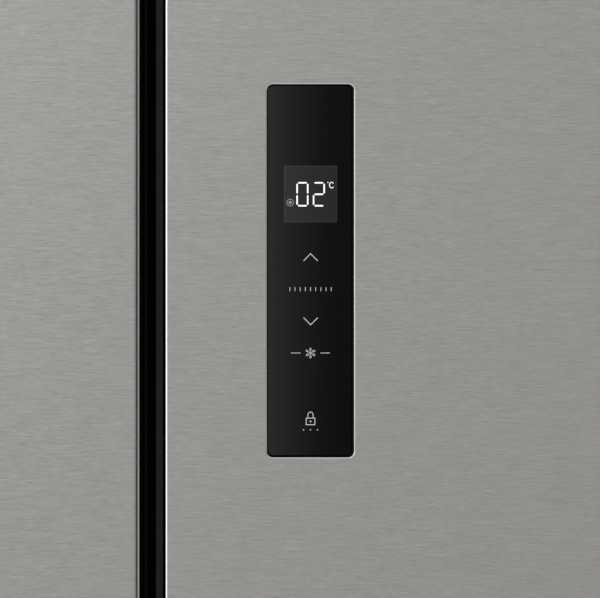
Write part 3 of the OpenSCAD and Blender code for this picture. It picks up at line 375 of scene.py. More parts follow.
@finish("liner_white")
def liner_white(g):
    """Vacuum-formed sheet: satin, with a very fine grain and hardly any change of tone."""
    drawn = g.noise((3, 3, 6), 1.0)
    grain = g.noise(800, 2.0)
    return {
        "Base Color": g.tint(COLOUR_OF["liner_white"], drawn, 0.015),
        "Roughness": 0.34 + (grain - 0.5) * 0.1,
        "Normal": g.bump(grain, 0.06, 0.0001),
    }


@finish("black_plastic")
def black_plastic(g):
    """Black of the grips, drawn along the door's height. Painted light: lit ridge tops on the
    fridge door, shaded ones on the freezer door.
    """
    look = look_of()
    drawn = g.noise((700, 700, 6), 2.0)
    grain = g.noise(1500, 2.0)
    y = g.axis(1)
    top = FRONT + RIDGE_TOP
    # The ridge tops get painted light: a lit tone on the fridge door's ridge and a shaded tone on
    # the freezer door's
    ridge_top_painted_light_mask = g.ramp(y, top + 0.0006, top + 0.0018, 1.0, 0.0) * g.ramp(y, top - 0.001, top - 0.0005)
    ridge = g.mix(g.ramp(g.axis(0), *RIDGE_SPLIT), look.ridge_freezer_painted_shade, look.ridge_fridge_painted_lit)
    return {
        # The groove's colour is black plastic darkened by painted shade in the recess
        "Base Color": g.mix(ridge_top_painted_light_mask, g.tint(look.groove, drawn, 0.3), ridge),
        "Roughness": look.grip_roughness + (drawn - 0.5) * 0.1,
        "Specular IOR Level": look.grip_gloss,
        "Normal": g.bump(drawn * 0.5 + grain * 0.5, 0.1, 0.00008),
    }


@finish("shelf_glass")
def shelf_glass(g):
    """Toughened glass, greenish where it is looked at along the pane."""
    haze = g.noise(12, 2.0)
    return {
        "Base Color": g.tint((0.86, 0.95, 0.93), haze, 0.02),
        "Roughness": 0.015 + haze * 0.02,
        "Transmission Weight": 1.0,
        "IOR": 1.5,
    }


@finish("clear_plastic")
def clear_plastic(g):
    """Clear injection-moulded plastic with faint flow lines."""
    flow = g.noise((12, 12, 90), 2.0)
    return {
        "Base Color": g.tint((0.93, 0.96, 0.98), flow, 0.02),
        "Roughness": 0.06 + flow * 0.05,
        "Transmission Weight": 0.92,
        "IOR": 1.46,
        "Normal": g.bump(flow, 0.05, 0.0002),
    }


@finish("lamp_plastic")
def lamp_plastic(g):
    """A diffuser with a prismatic pattern."""
    prism = g.cells(260)
    return {
        "Base Color": g.tint(COLOUR_OF["lamp_plastic"], prism, 0.04),
        "Roughness": 0.3,
        "Subsurface Weight": 0.2,
        "Subsurface Radius": (0.002, 0.002, 0.002),
        "Normal": g.bump(prism, 0.3, 0.0005),
    }


@finish("black_rubber")
def black_rubber(g):
    """Rubber with a grey bloom and fine scuffs."""
    scuff = g.noise(160, 4.0)
    return {
        "Base Color": g.tint(COLOUR_OF["black_rubber"], scuff, 0.5),
        "Roughness": 0.72 + (scuff - 0.5) * 0.25,
        "Normal": g.bump(scuff, 0.3, 0.0003),
    }


@finish("seal_grey")
def seal_grey(g):
    """Extruded soft seal with lines along its length and a slight sheen."""
    matt = g.noise(320, 3.0)
    return {
        "Base Color": g.tint(COLOUR_OF["seal_grey"], matt, 0.1),
        "Roughness": 0.58 + (matt - 0.5) * 0.2,
        "Sheen Weight": 0.15,
        "Normal": g.bump(matt, 0.15, 0.0002),
    }


@finish("copper_pipe")
def copper_pipe(g):
    """Drawn copper, a little tarnished in patches."""
    tarnish = g.noise(38, 4.0)
    patches = g.ramp(tarnish, 0.35, 0.75)
    return {
        "Base Color": g.mix(patches, COLOUR_OF["copper_pipe"], (0.34, 0.19, 0.13)),
        "Metallic": 1.0,
        "Roughness": 0.26 + tarnish * 0.3,
        "Normal": g.bump(tarnish, 0.05, 0.0002),
    }


@finish("panel_glass")
def panel_glass(g):
    """Glass printed black, with the display's window in it; its fade from left to right is a
    painted reflection.
    """
    look = look_of()
    x, z = g.axis(0), g.axis(2)
    # Painted reflection: lighter at the window's left edge, where the room is bright, and darker to
    # the right
    left = g.ramp(x, *WINDOW_X, 1.0, 0.0)
    across = 1 - left * left
    smear = g.noise(60, 3.0)

    def with_painted_reflection(first, second, light=1.0):
        return g.mix(across, [light * c for c in first], [light * c for c in second])

    def in_display(border):
        wide = g.inside(x, DISPLAY_X[0] + border, DISPLAY_X[1] - border, 2 * SOFT)
        return wide * g.inside(z, DISPLAY_Z[0] + border, DISPLAY_Z[1] - border, 2 * SOFT)

    base = with_painted_reflection(look.panel_left, look.panel_right)
    display = with_painted_reflection(look.display_left, look.display_right)
    edge = with_painted_reflection(look.display_left, look.display_right, 1.5)
    return {
        "Base Color": g.mix(in_display(0.0), base, g.mix(in_display(0.0006), edge, display)),
        "Roughness": 0.06 + smear * 0.05,
        "Specular IOR Level": look.glass_gloss,
    }


@finish("board_green")
def board_green(g):
    """Solder mask over copper tracks."""
    track = g.ramp(g.noise((160, 40, 420), 0.0), 0.47, 0.5)
    return {
        "Base Color": g.tint(COLOUR_OF["board_green"], track, 0.35),
        "Roughness": 0.32,
        "Normal": g.bump(track, 0.2, 0.0001),
    }


@finish("lit_segments")
def lit_segments(g):
    """Lit segments of the display, a touch uneven."""
    glow = g.noise(300, 1.0)
    return {
        "Base Color": (0.02, 0.02, 0.02, 1.0),
        "Roughness": 0.4,
        "Emission Color": g.tint((0.97, 0.98, 1.0), glow, 0.03),
        "Emission Strength": 1.1,
    }


@finish("printed_marks")
def printed_marks(g):
    """Light grey print on the glass."""
    ink = g.noise(2000, 2.0)
    return {
        "Base Color": g.tint((0.56, 0.57, 0.58), ink, 0.08),
        "Roughness": 0.45 + ink * 0.1,
        "Specular IOR Level": 0.3,
    }


@finish("dim_segments")
def dim_segments(g):
    """Segments that are lit weakly, behind the symbol beside the figures."""
    glow = g.noise(700, 1.0)
    return {
        "Base Color": (0.03, 0.03, 0.03, 1.0),
        "Roughness": 0.4,
        "Emission Color": g.tint((0.22, 0.22, 0.23), glow, 0.25),
        "Emission Strength": 1.0,
    }


MADE = {}


def coat(name):
    """The material of a slot or of the panel's marks, made once."""
    if name in MADE:
        return MADE[name]
    if name in PLAIN:
        kind, *values = PLAIN[name]
        MADE[name] = material(name, lambda g: kind(g, name, *values))
    else:
        MADE[name] = material(name, FINISHES[name])
    return MADE[name]


# Meshes


def outline(corners, steps=6):
    """A closed outline from (x, y, radius) corners, with each corner rounded."""
    points = []
    for i, (x, y, r) in enumerate(corners):
        corner = Vector((x, y))
        if r <= 0:
            points.append(corner)
            continue
        before = (Vector(corners[i - 1][:2]) - corner).normalized()
        after = (Vector(corners[(i + 1) % len(corners)][:2]) - corner).normalized()
        half = before.angle(after) / 2
        middle = corner + (before + after).normalized() * (r / math.sin(half))
        start = corner + before * (r / math.tan(half)) - middle
        end = corner + after * (r / math.tan(half)) - middle
        turn = start.angle_signed(end)
        for k in range(steps + 1):
            a = -turn * k / steps
            c, s = math.cos(a), math.sin(a)
            points.append(middle + Vector((start.x * c - start.y * s, start.x * s + start.y * c)))
    return points


def rounded_box(x, z, r, grow=0.0):
    """A rectangle's outline with round corners, grown all round. It starts in the middle of the
    bottom and has a point in the middle of the top."""
    (x0, x1), (z0, z1) = (x[0] - grow, x[1] + grow), (z[0] - grow, z[1] + grow)
    mid, r = (x0 + x1) / 2, r + grow
    return outline(
        [(mid, z0, 0), (x1, z0, r), (x1, z1, r), (mid, z1, 0), (x0, z1, r), (x0, z0, r)], 8
    )


def mesh_of(name, bm):
    """The bmesh as a mesh. The bmesh is freed."""
    mesh = bpy.data.meshes.new(name)
    bm.to_mesh(mesh)
    bm.free()
    return mesh


def linked(name, data):
    """A new object at the origin, in the scene."""
    made = bpy.data.objects.new(name, data)
    bpy.context.scene.collection.objects.link(made)
    return made


def new_piece(name, bm):
    """A mesh object at the origin from a bmesh, with its faces turned outwards."""
    bmesh.ops.remove_doubles(bm, verts=bm.verts, dist=1e-7)
    bmesh.ops.recalc_face_normals(bm, faces=bm.faces)
    return linked(name, mesh_of(name, bm))


def baked(piece):
    """The piece with its modifiers made part of its mesh."""
    graph = bpy.context.evaluated_depsgraph_get()
    mesh = bpy.data.meshes.new_from_object(piece.evaluated_get(graph))
    piece.modifiers.clear()
    old, piece.data = piece.data, mesh
    bpy.data.meshes.remove(old)
    mesh.name = piece.name
    return piece


def smoothed(piece, angle=35, bevel=0.0, segments=2):
    """Breaks the piece's sharp edges, and shades what is round as round."""
    if bevel > 0:
        edge = piece.modifiers.new("edge", "BEVEL")
        edge.width, edge.segments = bevel, segments
        edge.limit_method, edge.angle_limit = "ANGLE", math.radians(angle)
        edge.use_clamp_overlap = True
        edge.miter_outer = "MITER_ARC"
        piece = baked(piece)
    bm = bmesh.new()
    bm.from_mesh(piece.data)
    for face in bm.faces:
        face.smooth = True
    for line in bm.edges:
        line.smooth = line.calc_face_angle(math.pi) < math.radians(angle)
    bm.to_mesh(piece.data)
    bm.free()
    flat = piece.modifiers.new("flat", "WEIGHTED_NORMAL")
    flat.keep_sharp = True
    flat.weight = 80
    return baked(piece)


def seat(piece, body, slot, nodes=(), look=None):
    """Gives a finished piece its slot's material, or the look's when one is given, puts it on its
    body and hides the nodes it stands for.
    """
    piece.data.materials.clear()
    piece.data.materials.append(coat(look or slot))
    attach(piece, body)
    if nodes:
        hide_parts(*nodes)
    return piece


def sound(mesh):
    """Whether a mesh is closed and none of its faces is filled back to front."""
    bm = bmesh.new()
    bm.from_mesh(mesh)
    closed = all(len(line.link_faces) == 2 for line in bm.edges)
    bm.free()
    mesh.calc_loop_triangles()
    return closed and not any(
        t.area > 1e-7 and t.normal.dot(mesh.polygons[t.polygon_index].normal) < 0.5
        for t in mesh.loop_triangles
    )


def dressed(node, bevel, segments=2):
    """A copy of a node, merged, with its edges broken, which stands for the node.
    Where a broad edge or a joined face would fold over, a finer one is taken."""
    source = frame["nodes"][node]
    tries = [(wide, joined) for joined in (True, False) for wide in (bevel, bevel / 2)]
    for wide, joined in (*tries, (0.0, False)):
        bm = bmesh.new()
        bm.from_mesh(source.data)
        bmesh.ops.remove_doubles(bm, verts=bm.verts, dist=MERGE_D)
        if joined:
            bmesh.ops.dissolve_limit(
                bm, angle_limit=math.radians(0.4), use_dissolve_boundaries=False,
                verts=bm.verts, edges=bm.edges,
            )
            bmesh.ops.connect_verts_concave(bm, faces=bm.faces)
        piece = linked(node + "_dressed", mesh_of(node + "_dressed", bm))
        smoothed(piece, 35, wide, segments)
        if wide == 0.0 or sound(piece.data):
            break
        bpy.data.objects.remove(piece)
    return seat(piece, source["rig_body"], SLOT_OF[node], [node])


def swept(bm, points, low, high, skip=()):
    """Walls along Z over a closed outline of world (x, y) points, without the spans in skip.
    Returns the bottom and the top ring."""
    rings = [[bm.verts.new((p[0], p[1], z)) for p in points] for z in (low, high)]
    count = len(points)
    for i in range(count):
        if i not in skip:
            j = (i + 1) % count
            bm.faces.new((rings[0][i], rings[0][j], rings[1][j], rings[1][i]))
    for ring in rings:
        bm.faces.new(ring)
    return rings


def ring_walls(bm, rings):
    """Joins each ring of vertices with the next."""
    for one, two in zip(rings, rings[1:]):
        for j in range(len(one)):
            k = (j + 1) % len(one)
            bm.faces.new((one[j], one[k], two[k], two[j]))


def at_door(door, u, v):
    """World (x, y) of a point u from the door's outer side and v behind its front."""
    side, way = SIDES[door]
    return (side + way * u, FRONT + v)


def steel_skin(door, hole=False):
    """The door's folded steel front, its rounded edges and its lip, with the panel's window."""
    w = DOOR_W[door]
    mid = abs(sum(OPENING_X) / 2 - SIDES[door][0])
    (fold, _, fold_r), (wall, wall_end, wall_r) = LIP_WALL[door]
    flare, flare_end = w + FLARE_OUT[door], wall_end + FLARE_DEEP[door]
    # Round the outside from the back of the outer side to the hem, and back along the inside
    corners = [
        (0, SKIN_BACK, 0), (0, 0, FOLD_R), (mid, 0, 0), (w + fold, 0, fold_r),
        (w + wall, wall_end, wall_r), (flare, flare_end, 0.0003), (flare, LIP_D, 0.0002),
        (w - HEM, LIP_D, 0), (w - HEM, LIP_D - SKIN_T, 0), (flare - SKIN_T, LIP_D - SKIN_T, 0),
        (flare - SKIN_T, flare_end + 0.0004, 0), (w + wall - SKIN_T, wall_end + 0.0003, 0),
        (w + fold - SKIN_T, SKIN_T, max(0.0, fold_r - SKIN_T)), (mid, SKIN_T, 0),
        (SKIN_T, SKIN_T, FOLD_R - SKIN_T), (SKIN_T, SKIN_BACK, 0),
    ]
    if not hole:
        corners = [c for c in corners if c[0] != mid]
    shape = outline(corners, 8)
    low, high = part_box(door + "_skin")
    bm = bmesh.new()
    points = [at_door(door, *p) for p in shape]
    if not hole:
        swept(bm, points, low.z, high.z)
        return new_piece(door + "_steel", bm)
    # The front has a point over the opening's middle, outside and inside, and is left open there
    middles = [i for i, p in enumerate(shape) if abs(p.x - mid) < 1e-6]
    skip = [middles[0] - 1, middles[0], middles[1] - 1, middles[1]]
    rings = swept(bm, points, low.z, high.z, skip)
    hole_rings = []
    for grow, deep in ((RIM_W, 0.0), (0.0, RIM_D), (0.0, SKIN_T)):
        edge = rounded_box(OPENING_X, OPENING_Z, WINDOW_R, grow)
        hole_rings.append([bm.verts.new((p.x, FRONT + deep, p.y)) for p in edge])
    ring_walls(bm, hole_rings)
    # Each half of the front, outside and inside, goes round its half of the opening
    top = len(hole_rings[0]) // 2
    for middle, ring in ((middles[0], hole_rings[0]), (middles[1], hole_rings[-1])):
        right, left = ring[: top + 1], [ring[0], *reversed(ring[top:])]
        for other in (middle - 1, middle + 1):
            half = right if points[other][0] > points[middle][0] else left
            low_edge, high_edge = ((r[other], r[middle]) for r in rings)
            bm.faces.new([*low_edge, *half, *reversed(high_edge)])
    return new_piece(door + "_steel", bm)


def grip(door):
    """The finger groove behind the lip and the round-edged ridge in the gap."""
    w, start, out = DOOR_W[door], RIDGE_IN[door], RIDGE_OUT[door]
    inner = w - GROOVE_D - GRIP_WALL
    back = GROOVE_FLOOR + GROOVE_FLOOR_T
    corners = [
        (inner, LIP_D, 0), (w + GRIP_OUT, LIP_D, 0), (w + GRIP_OUT, LIP_D + GRIP_WALL, 0.0008),
        (inner + GRIP_WALL, LIP_D + GRIP_WALL, 0.003), (inner + GRIP_WALL, GROOVE_FLOOR, 0.004),
        (w + start, GROOVE_FLOOR, 0.0006), (w + start, RIDGE_TOP, RIDGE_R),
        (w + out, RIDGE_TOP, RIDGE_R), (w + out, back, 0.0005), (w, back, 0), (w, SKIN_BACK, 0),
        (w - GRIP_WALL, SKIN_BACK, 0), (w - GRIP_WALL, back, 0), (inner, back, 0),
    ]
    low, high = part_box(door + "_grip")
    bm = bmesh.new()
    swept(bm, [at_door(door, *p) for p in outline(corners, 6)], low.z, high.z)
    return new_piece(door + "_grip_profile", bm)


def bellows_seal(door):
    """A seal with a magnet pocket and folds, mitred at its four corners."""
    low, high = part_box(door + "_seal")
    wide, deep = 0.012, high.y - low.y
    # One side of the section, as (in from the seal's edge, out from the door)
    half = [
        (0.0, 0.0), (0.0, 0.0016), (0.0012, 0.0026), (0.0034, 0.0034), (0.0036, 0.0042),
        (0.0022, 0.0050), (0.0022, 0.0056), (0.0037, 0.0064), (0.0036, 0.0072), (0.0010, 0.0080),
        (0.0002, 0.0088), (0.0, deep - 0.0012), (0.0004, deep - 0.0004), (0.0012, deep),
    ]
    shape = [*half, *[(wide - n, v) for n, v in reversed(half)]]
    bm = bmesh.new()
    rings = []
    for n, v in shape:
        left, right, bottom, top = low.x + n, high.x - n, low.z + n, high.z - n
        ring = ((left, bottom), (right, bottom), (right, top), (left, top))
        rings.append([bm.verts.new((x, high.y - v, z)) for x, z in ring])
    ring_walls(bm, [*rings, rings[0]])
    return new_piece(door + "_bellows", bm)


def plate(name, x, z, y_front, y_back, r, edge):
    """A rounded plate with a rounded front edge."""
    bm = bmesh.new()
    loops = [(0.0, y_back), (0.0, y_front + edge)]
    for k in range(1, 5):
        a = math.pi / 2 * k / 4
        loops.append((edge * (1 - math.cos(a)), y_front + edge * (1 - math.sin(a))))
    rings = []
    for shrink, y in loops:
        rings.append([bm.verts.new((p.x, y, p.y)) for p in rounded_box(x, z, r, -shrink)])
    ring_walls(bm, rings)
    bm.faces.new(rings[0])
    bm.faces.new(rings[-1])
    return new_piece(name, bm)


# Marks on the panel, as flat strokes that stand a hair proud of the glass. Their places are in
# millimetres right of the window's left edge and under its top.

# The middle of the column of keys
KEYS_MIDDLE = 25.4
# The figures: their middles, the width of a bar, and the gap before a bar's ends
FIGURES = {"0": (20.7, 63.75), "2": (30.25, 63.75)}
FIGURE_T = 0.9
FIGURE_GAP = 0.42
# The middles of the symbol, of the degree sign and of its letter
SYMBOL = (13.6, 68.55)
DEGREE = (35.5, 56.9)
LETTER = (37.66, 58.45)
# The two arrows, each from end to tip to end
ARROWS = (
    ((21.4, 102.4), (25.4, 98.2), (29.6, 102.4)),
    ((21.4, 135.3), (25.5, 139.45), (29.6, 135.3)),
)
# The row of scale marks: how far down it lies and how wide it is
SCALE_DOWN = 118.8
SCALE_W = 24.0
# The snowflake: how far down it lies, half its width, and where the dashes start and end
FLAKE_DOWN = 155.8
FLAKE_ARM = 3.1
FLAKE_DASHES = ((14.1, 19.6), (31.2, 36.7))


def mark_point(a, b):
    """World x and z of a place on the panel."""
    return Vector((WINDOW_X[0] + a / 1000, WINDOW_Z[1] - b / 1000))


def flat_shape(bm, points):
    """A closed flat shape of world (x, z) points, on the glass."""
    rings = [[bm.verts.new((p.x, y, p.y)) for p in points] for y in MARK_Y]
    ring_walls(bm, rings)
    bm.faces.new(rings[0])
    bm.faces.new(rings[1])


def dot(bm, a, b, r, steps):
    """A round spot centred at (a, b)."""
    flat_shape(bm, [mark_point(*p) for p in circle_points(a, b, r, steps)])


def stroke(bm, points, width, closed=False):
    """A line of even width through points (a, b) in millimetres."""
    path = [mark_point(*p) for p in points]
    count = len(path)
    half = width / 2000
    left, right = [], []
    for i in range(count):
        behind, ahead = path[i] - path[i - 1], path[(i + 1) % count] - path[i]
        if not closed and i == count - 1:
            ahead = behind
        if not closed and i == 0:
            behind = ahead
        ahead, behind = ahead.normalized(), behind.normalized()
        across = Vector((-(ahead + behind).y, (ahead + behind).x)).normalized()
        reach = half / max(0.3, across.dot(Vector((-ahead.y, ahead.x))))
        left.append(path[i] + across * reach)
        right.append(path[i] - across * reach)
    if not closed:
        flat_shape(bm, [*left, *reversed(right)])
        return
    backs, faces = (
        [[bm.verts.new((p.x, y, p.y)) for p in side] for side in (left, right)] for y in MARK_Y
    )
    ring_walls(bm, [*backs, *reversed(faces), backs[0]])


def arc_points(a, b, r, start, end, steps=24):
    """Points (a, b) on an arc, with angles in degrees, anticlockwise from the right."""
    made = []
    for k in range(steps + 1):
        t = math.radians(start + (end - start) * k / steps)
        made.append((a + r * math.cos(t), b - r * math.sin(t)))
    return made


def circle_points(a, b, r, steps=28):
    """Points on a whole circle, each once."""
    return arc_points(a, b, r, 0, 360, steps)[:-1]


# The bars of a seven-bar figure, each with its two ends as (column, level), and which are lit
BARS = (
    ((0, 0), (1, 0)), ((0, 0), (0, 1)), ((1, 0), (1, 1)), ((0, 1), (1, 1)),
    ((0, 1), (0, 2)), ((1, 1), (1, 2)), ((0, 2), (1, 2)),
)
LIT = {"0": "1110111", "2": "1011101"}


def figure(bm, digit, wide, high):
    """A seven-bar figure in its place on the display, each bar with pointed ends."""
    (a, b), half = FIGURES[digit], FIGURE_T / 2
    columns = (a - wide / 2 + half, a + wide / 2 - half)
    levels = (b - high / 2 + half, b, b + high / 2 - half)
    for lit, ends in zip(LIT[digit], BARS):
        if lit == "0":
            continue
        start, end = (Vector((columns[i], levels[j])) for i, j in ends)
        way = (end - start).normalized()
        side = Vector((-way.y, way.x)) * half
        p, q = start + way * FIGURE_GAP, end - way * FIGURE_GAP
        tip = way * half * 0.8
        bar = (p, p + tip + side, q - tip + side, q, q - tip - side, p + tip - side)
        flat_shape(bm, [mark_point(*c) for c in bar])


# Repeats, made with Geometry Nodes


def repeat_tree(name, rows=False):
    """Puts one piece at even steps along a line, or at the points of the mesh that comes in,
    where it is turned along their attribute named way."""
    tree = bpy.data.node_groups.new(name, "GeometryNodeTree")
    kinds = {"Geometry": "Geometry", "Piece": "Object", "Size": "Float", "Finish": "Material"}
    if rows:
        kinds.update({"Count": "Int", "Start": "Vector", "Step": "Vector"})
    for label, kind in kinds.items():
        tree.interface.new_socket(label, in_out="INPUT", socket_type="NodeSocket" + kind)
    tree.interface.new_socket("Geometry", in_out="OUTPUT", socket_type="NodeSocketGeometry")

    def add(kind, links=(), **settings):
        """Adds a node: its settings first, then its links, as (input, other node, its output)."""
        made = tree.nodes.new(kind)
        for key, value in settings.items():
            setattr(made, key, value)
        for socket, other, output in links:
            tree.links.new(other.outputs[output], made.inputs[socket])
        return made

    given = add("NodeGroupInput")
    thing = add("GeometryNodeObjectInfo", [("Object", given, "Piece")])
    if rows:
        ends = [("Count", given, "Count"), ("Start Location", given, "Start")]
        line = add("GeometryNodeMeshLine", [*ends, ("Offset", given, "Step")], mode="OFFSET")
        places = [("Points", line, "Mesh")]
    else:
        way = add("GeometryNodeInputNamedAttribute", data_type="FLOAT_VECTOR")
        way.inputs["Name"].default_value = "way"
        turn = add("FunctionNodeAlignRotationToVector", [("Vector", way, "Attribute")], axis="Z")
        places = [("Points", given, "Geometry"), ("Rotation", turn, "Rotation")]
    put = add(
        "GeometryNodeInstanceOnPoints",
        [*places, ("Instance", thing, "Geometry"), ("Scale", given, "Size")],
    )
    real = add("GeometryNodeRealizeInstances", [("Geometry", put, "Instances")])
    paint = add(
        "GeometryNodeSetMaterial", [("Geometry", real, "Geometry"), ("Material", given, "Finish")]
    )
    add("NodeGroupOutput", [("Geometry", paint, "Geometry")])
    return tree


def repeated(name, tree, piece, look, mesh=None, **values):
    """The result of a repeat tree as a plain mesh object. The repeated piece is removed."""
    made = linked(name, mesh or bpy.data.meshes.new(name))
    nodes = made.modifiers.new("repeat", "NODES")
    nodes.node_group = tree
    known = {"Piece": piece, "Size": 1.0, "Finish": coat(look), **values}
    for socket in tree.interface.items_tree:
        if socket.in_out == "INPUT" and socket.name in known:
            nodes[socket.identifier] = known[socket.name]
    baked(made)
    bpy.data.objects.remove(piece)
    return made


# The screw's head as (radius, height) from its foot up, and how far it stands out
SCREW_HEAD = ((0.0045, 0.0), (0.0045, 0.0009), (0.0040, 0.0017), (0.0031, 0.0022), (0.0019, 0.0025))
SCREW_HEAD_H = 0.0025
# Its cross: how far it reaches, half the width of a slot, where it starts and where it ends
CROSS_R = 0.0017
CROSS_HALF = 0.00035
CROSS_TOP = 0.0024
CROSS_FLOOR = 0.0012


def screw_head():
    """A pan head with a cross recess, standing on z = 0."""
    bm = bmesh.new()
    angles = [2 * math.pi * k / 24 for k in range(24)]
    cross = []
    for a in angles:
        quarter = (a + math.pi / 4) % (math.pi / 2) - math.pi / 4
        r = CROSS_R
        if abs(quarter) > 1e-6:
            r = min(r, CROSS_HALF / max(0.05, abs(math.sin(quarter))))
        cross.append((r * math.cos(a), r * math.sin(a)))
    round_rings = [[(r * math.cos(a), r * math.sin(a), z) for a in angles] for r, z in SCREW_HEAD]
    # The top ring sinks to a cross that narrows downwards
    cross_rings = [
        [(x * share, y * share, z) for x, y in cross]
        for share, z in ((1.0, CROSS_TOP), (0.8, CROSS_FLOOR))
    ]
    rings = [[bm.verts.new(p) for p in ring] for ring in (*round_rings, *cross_rings)]
    ring_walls(bm, rings)
    bm.faces.new(rings[0])
    bm.faces.new(rings[-1])
    return new_piece("screw_head", bm)


def islands(mesh):
    """The separate solids of a mesh, each as a list of its vertices' places."""
    bm = bmesh.new()
    bm.from_mesh(mesh)
    bmesh.ops.remove_doubles(bm, verts=bm.verts, dist=MERGE_D)
    seen, found = set(), []
    for start in bm.verts:
        if start in seen:
            continue
        seen.add(start)
        heap, places = [start], []
        while heap:
            v = heap.pop()
            places.append(v.co.copy())
            for e in v.link_edges:
                other = e.other_vert(v)
                if other not in seen:
                    seen.add(other)
                    heap.append(other)
        found.append(places)
    bm.free()
    return found


# Sizes, colours and light that a user would change


def colour(name, description, default):
    """A colour's property."""
    return FloatVectorProperty(
        name=name, description=description, default=default, subtype="COLOR", size=3, min=0, max=1
    )


def number(name, description, default, low=0.0, high=1.0, **kind):
    """A number's property, with a unit or subtype where one fits."""
    return FloatProperty(
        name=name, description=description, default=default, min=low, max=high, **kind
    )


def length(name, description, default, low, high):
    """A length's property."""
    return number(name, description, default, low, high, unit="LENGTH")


def power(name, description, default):
    """A lamp's power."""
    return number(name, description, default, 0.0, 1000.0, subtype="POWER", unit="POWER")


class FRIDGE_PG_finish(bpy.types.PropertyGroup):
    """Colours and finishes that a user would change"""

    steel: colour("Steel", "Colour of the brushed steel doors", (0.438, 0.432, 0.420))
    polished: colour(
        "Polished steel", "Colour of the polished lips and of the window's rim", (0.70, 0.70, 0.69)
    )
    steel_roughness: number("Steel roughness", "How blurred the steel's reflections are", 0.34)
    hairline: number("Hairlines", "How much the brushing changes the steel's tone", 0.19, 0, 0.5)
    # Painted reflection: the glass and the display's window are lighter at the left and darker at
    # the right
    panel_left: colour(
        "Panel, left", "Colour of the glass at its left edge", (0.0205, 0.0205, 0.0212)
    )
    panel_right: colour(
        "Panel, right", "Colour of the glass at its right edge", (0.0022, 0.0022, 0.0024)
    )
    display_left: colour(
        "Display, left", "Colour of the display's window at its left edge", (0.036, 0.036, 0.037)
    )
    display_right: colour(
        "Display, right", "Colour of the display's window at its right edge", (0.019, 0.019, 0.020)
    )
    # Kept low, so that the painted reflection stands in for most of the glass's own
    glass_gloss: number("Panel gloss", "Specular level of the panel's glass", 0.06)
    grip_gloss: number("Grip gloss", "Specular level of the black grips", 0.08)
    # Black plastic, made far darker than it is: painted shade that keeps the finger grooves and the
    # gap black
    groove: colour("Groove", "Colour of the finger grooves", (0.0015, 0.0015, 0.0016))
    # Painted light: the fridge door's ridge gets a lighter, lit copy of the black plastic
    ridge_fridge_painted_lit: colour(
        "Fridge ridge", "Colour of the ridge on the fridge door", (0.060, 0.060, 0.065)
    )
    # Painted shade: the freezer door's ridge gets a darker, shaded copy of the black plastic
    ridge_freezer_painted_shade: colour(
        "Freezer ridge", "Colour of the ridge on the freezer door", (0.004, 0.004, 0.0044)
    )
    grip_roughness: number("Grip roughness", "Roughness of the black grips", 0.38)


class FRIDGE_PG_sizes(bpy.types.PropertyGroup):
    """Sizes that a user would change"""

    figure_high: length("Figure height", "Height of the display's figures", 0.0142, 0.005, 0.03)
    figure_wide: length("Figure width", "Width of one figure", 0.00705, 0.003, 0.015)
    edge: length("Broken edge", "Width of the broken edges on moulded parts", 0.0006, 0, 0.002)
    ticks: IntProperty(
        name="Scale marks", description="Marks on the panel's scale", default=9, min=3, max=15
    )


class FRIDGE_PG_studio(bpy.types.PropertyGroup):
    """The light and the room"""

    fill: number("Fill", "Light from all round on what is matt", 0.62, 0, 2)
    key_power: power("Key lamp", "Power of the soft lamp at the upper left", 37)
    side_power: power("Side lamp", "Power of the tall lamp at the left", 1.1)
    floor_size: length("Floor", "Side of the square floor", 160.0, 10, 400)


# The lamps: where each stands, what it faces, and its width and height
LAMPS = {
    "key": ((-1.38, -2.15, 2.25), (0.0, FRONT, 1.25), (1.1, 1.1)),
    "side": ((-1.95, -1.02, 1.32), (-0.05, FRONT, 1.32), (0.16, 1.5)),
}
# The camera: its distance, and the width and the middle of what it sees. It stands far off,
# because the photograph shows hardly any perspective in the gap.
CAMERA_AWAY = 5.0
SEEN_W = 0.348
SEEN_MIDDLE = (0.0257, 1.3135)


# Operators, in the order in which the pieces are made


class Undoable:
    """Lets a user undo an operator."""

    bl_options = {"REGISTER", "UNDO"}


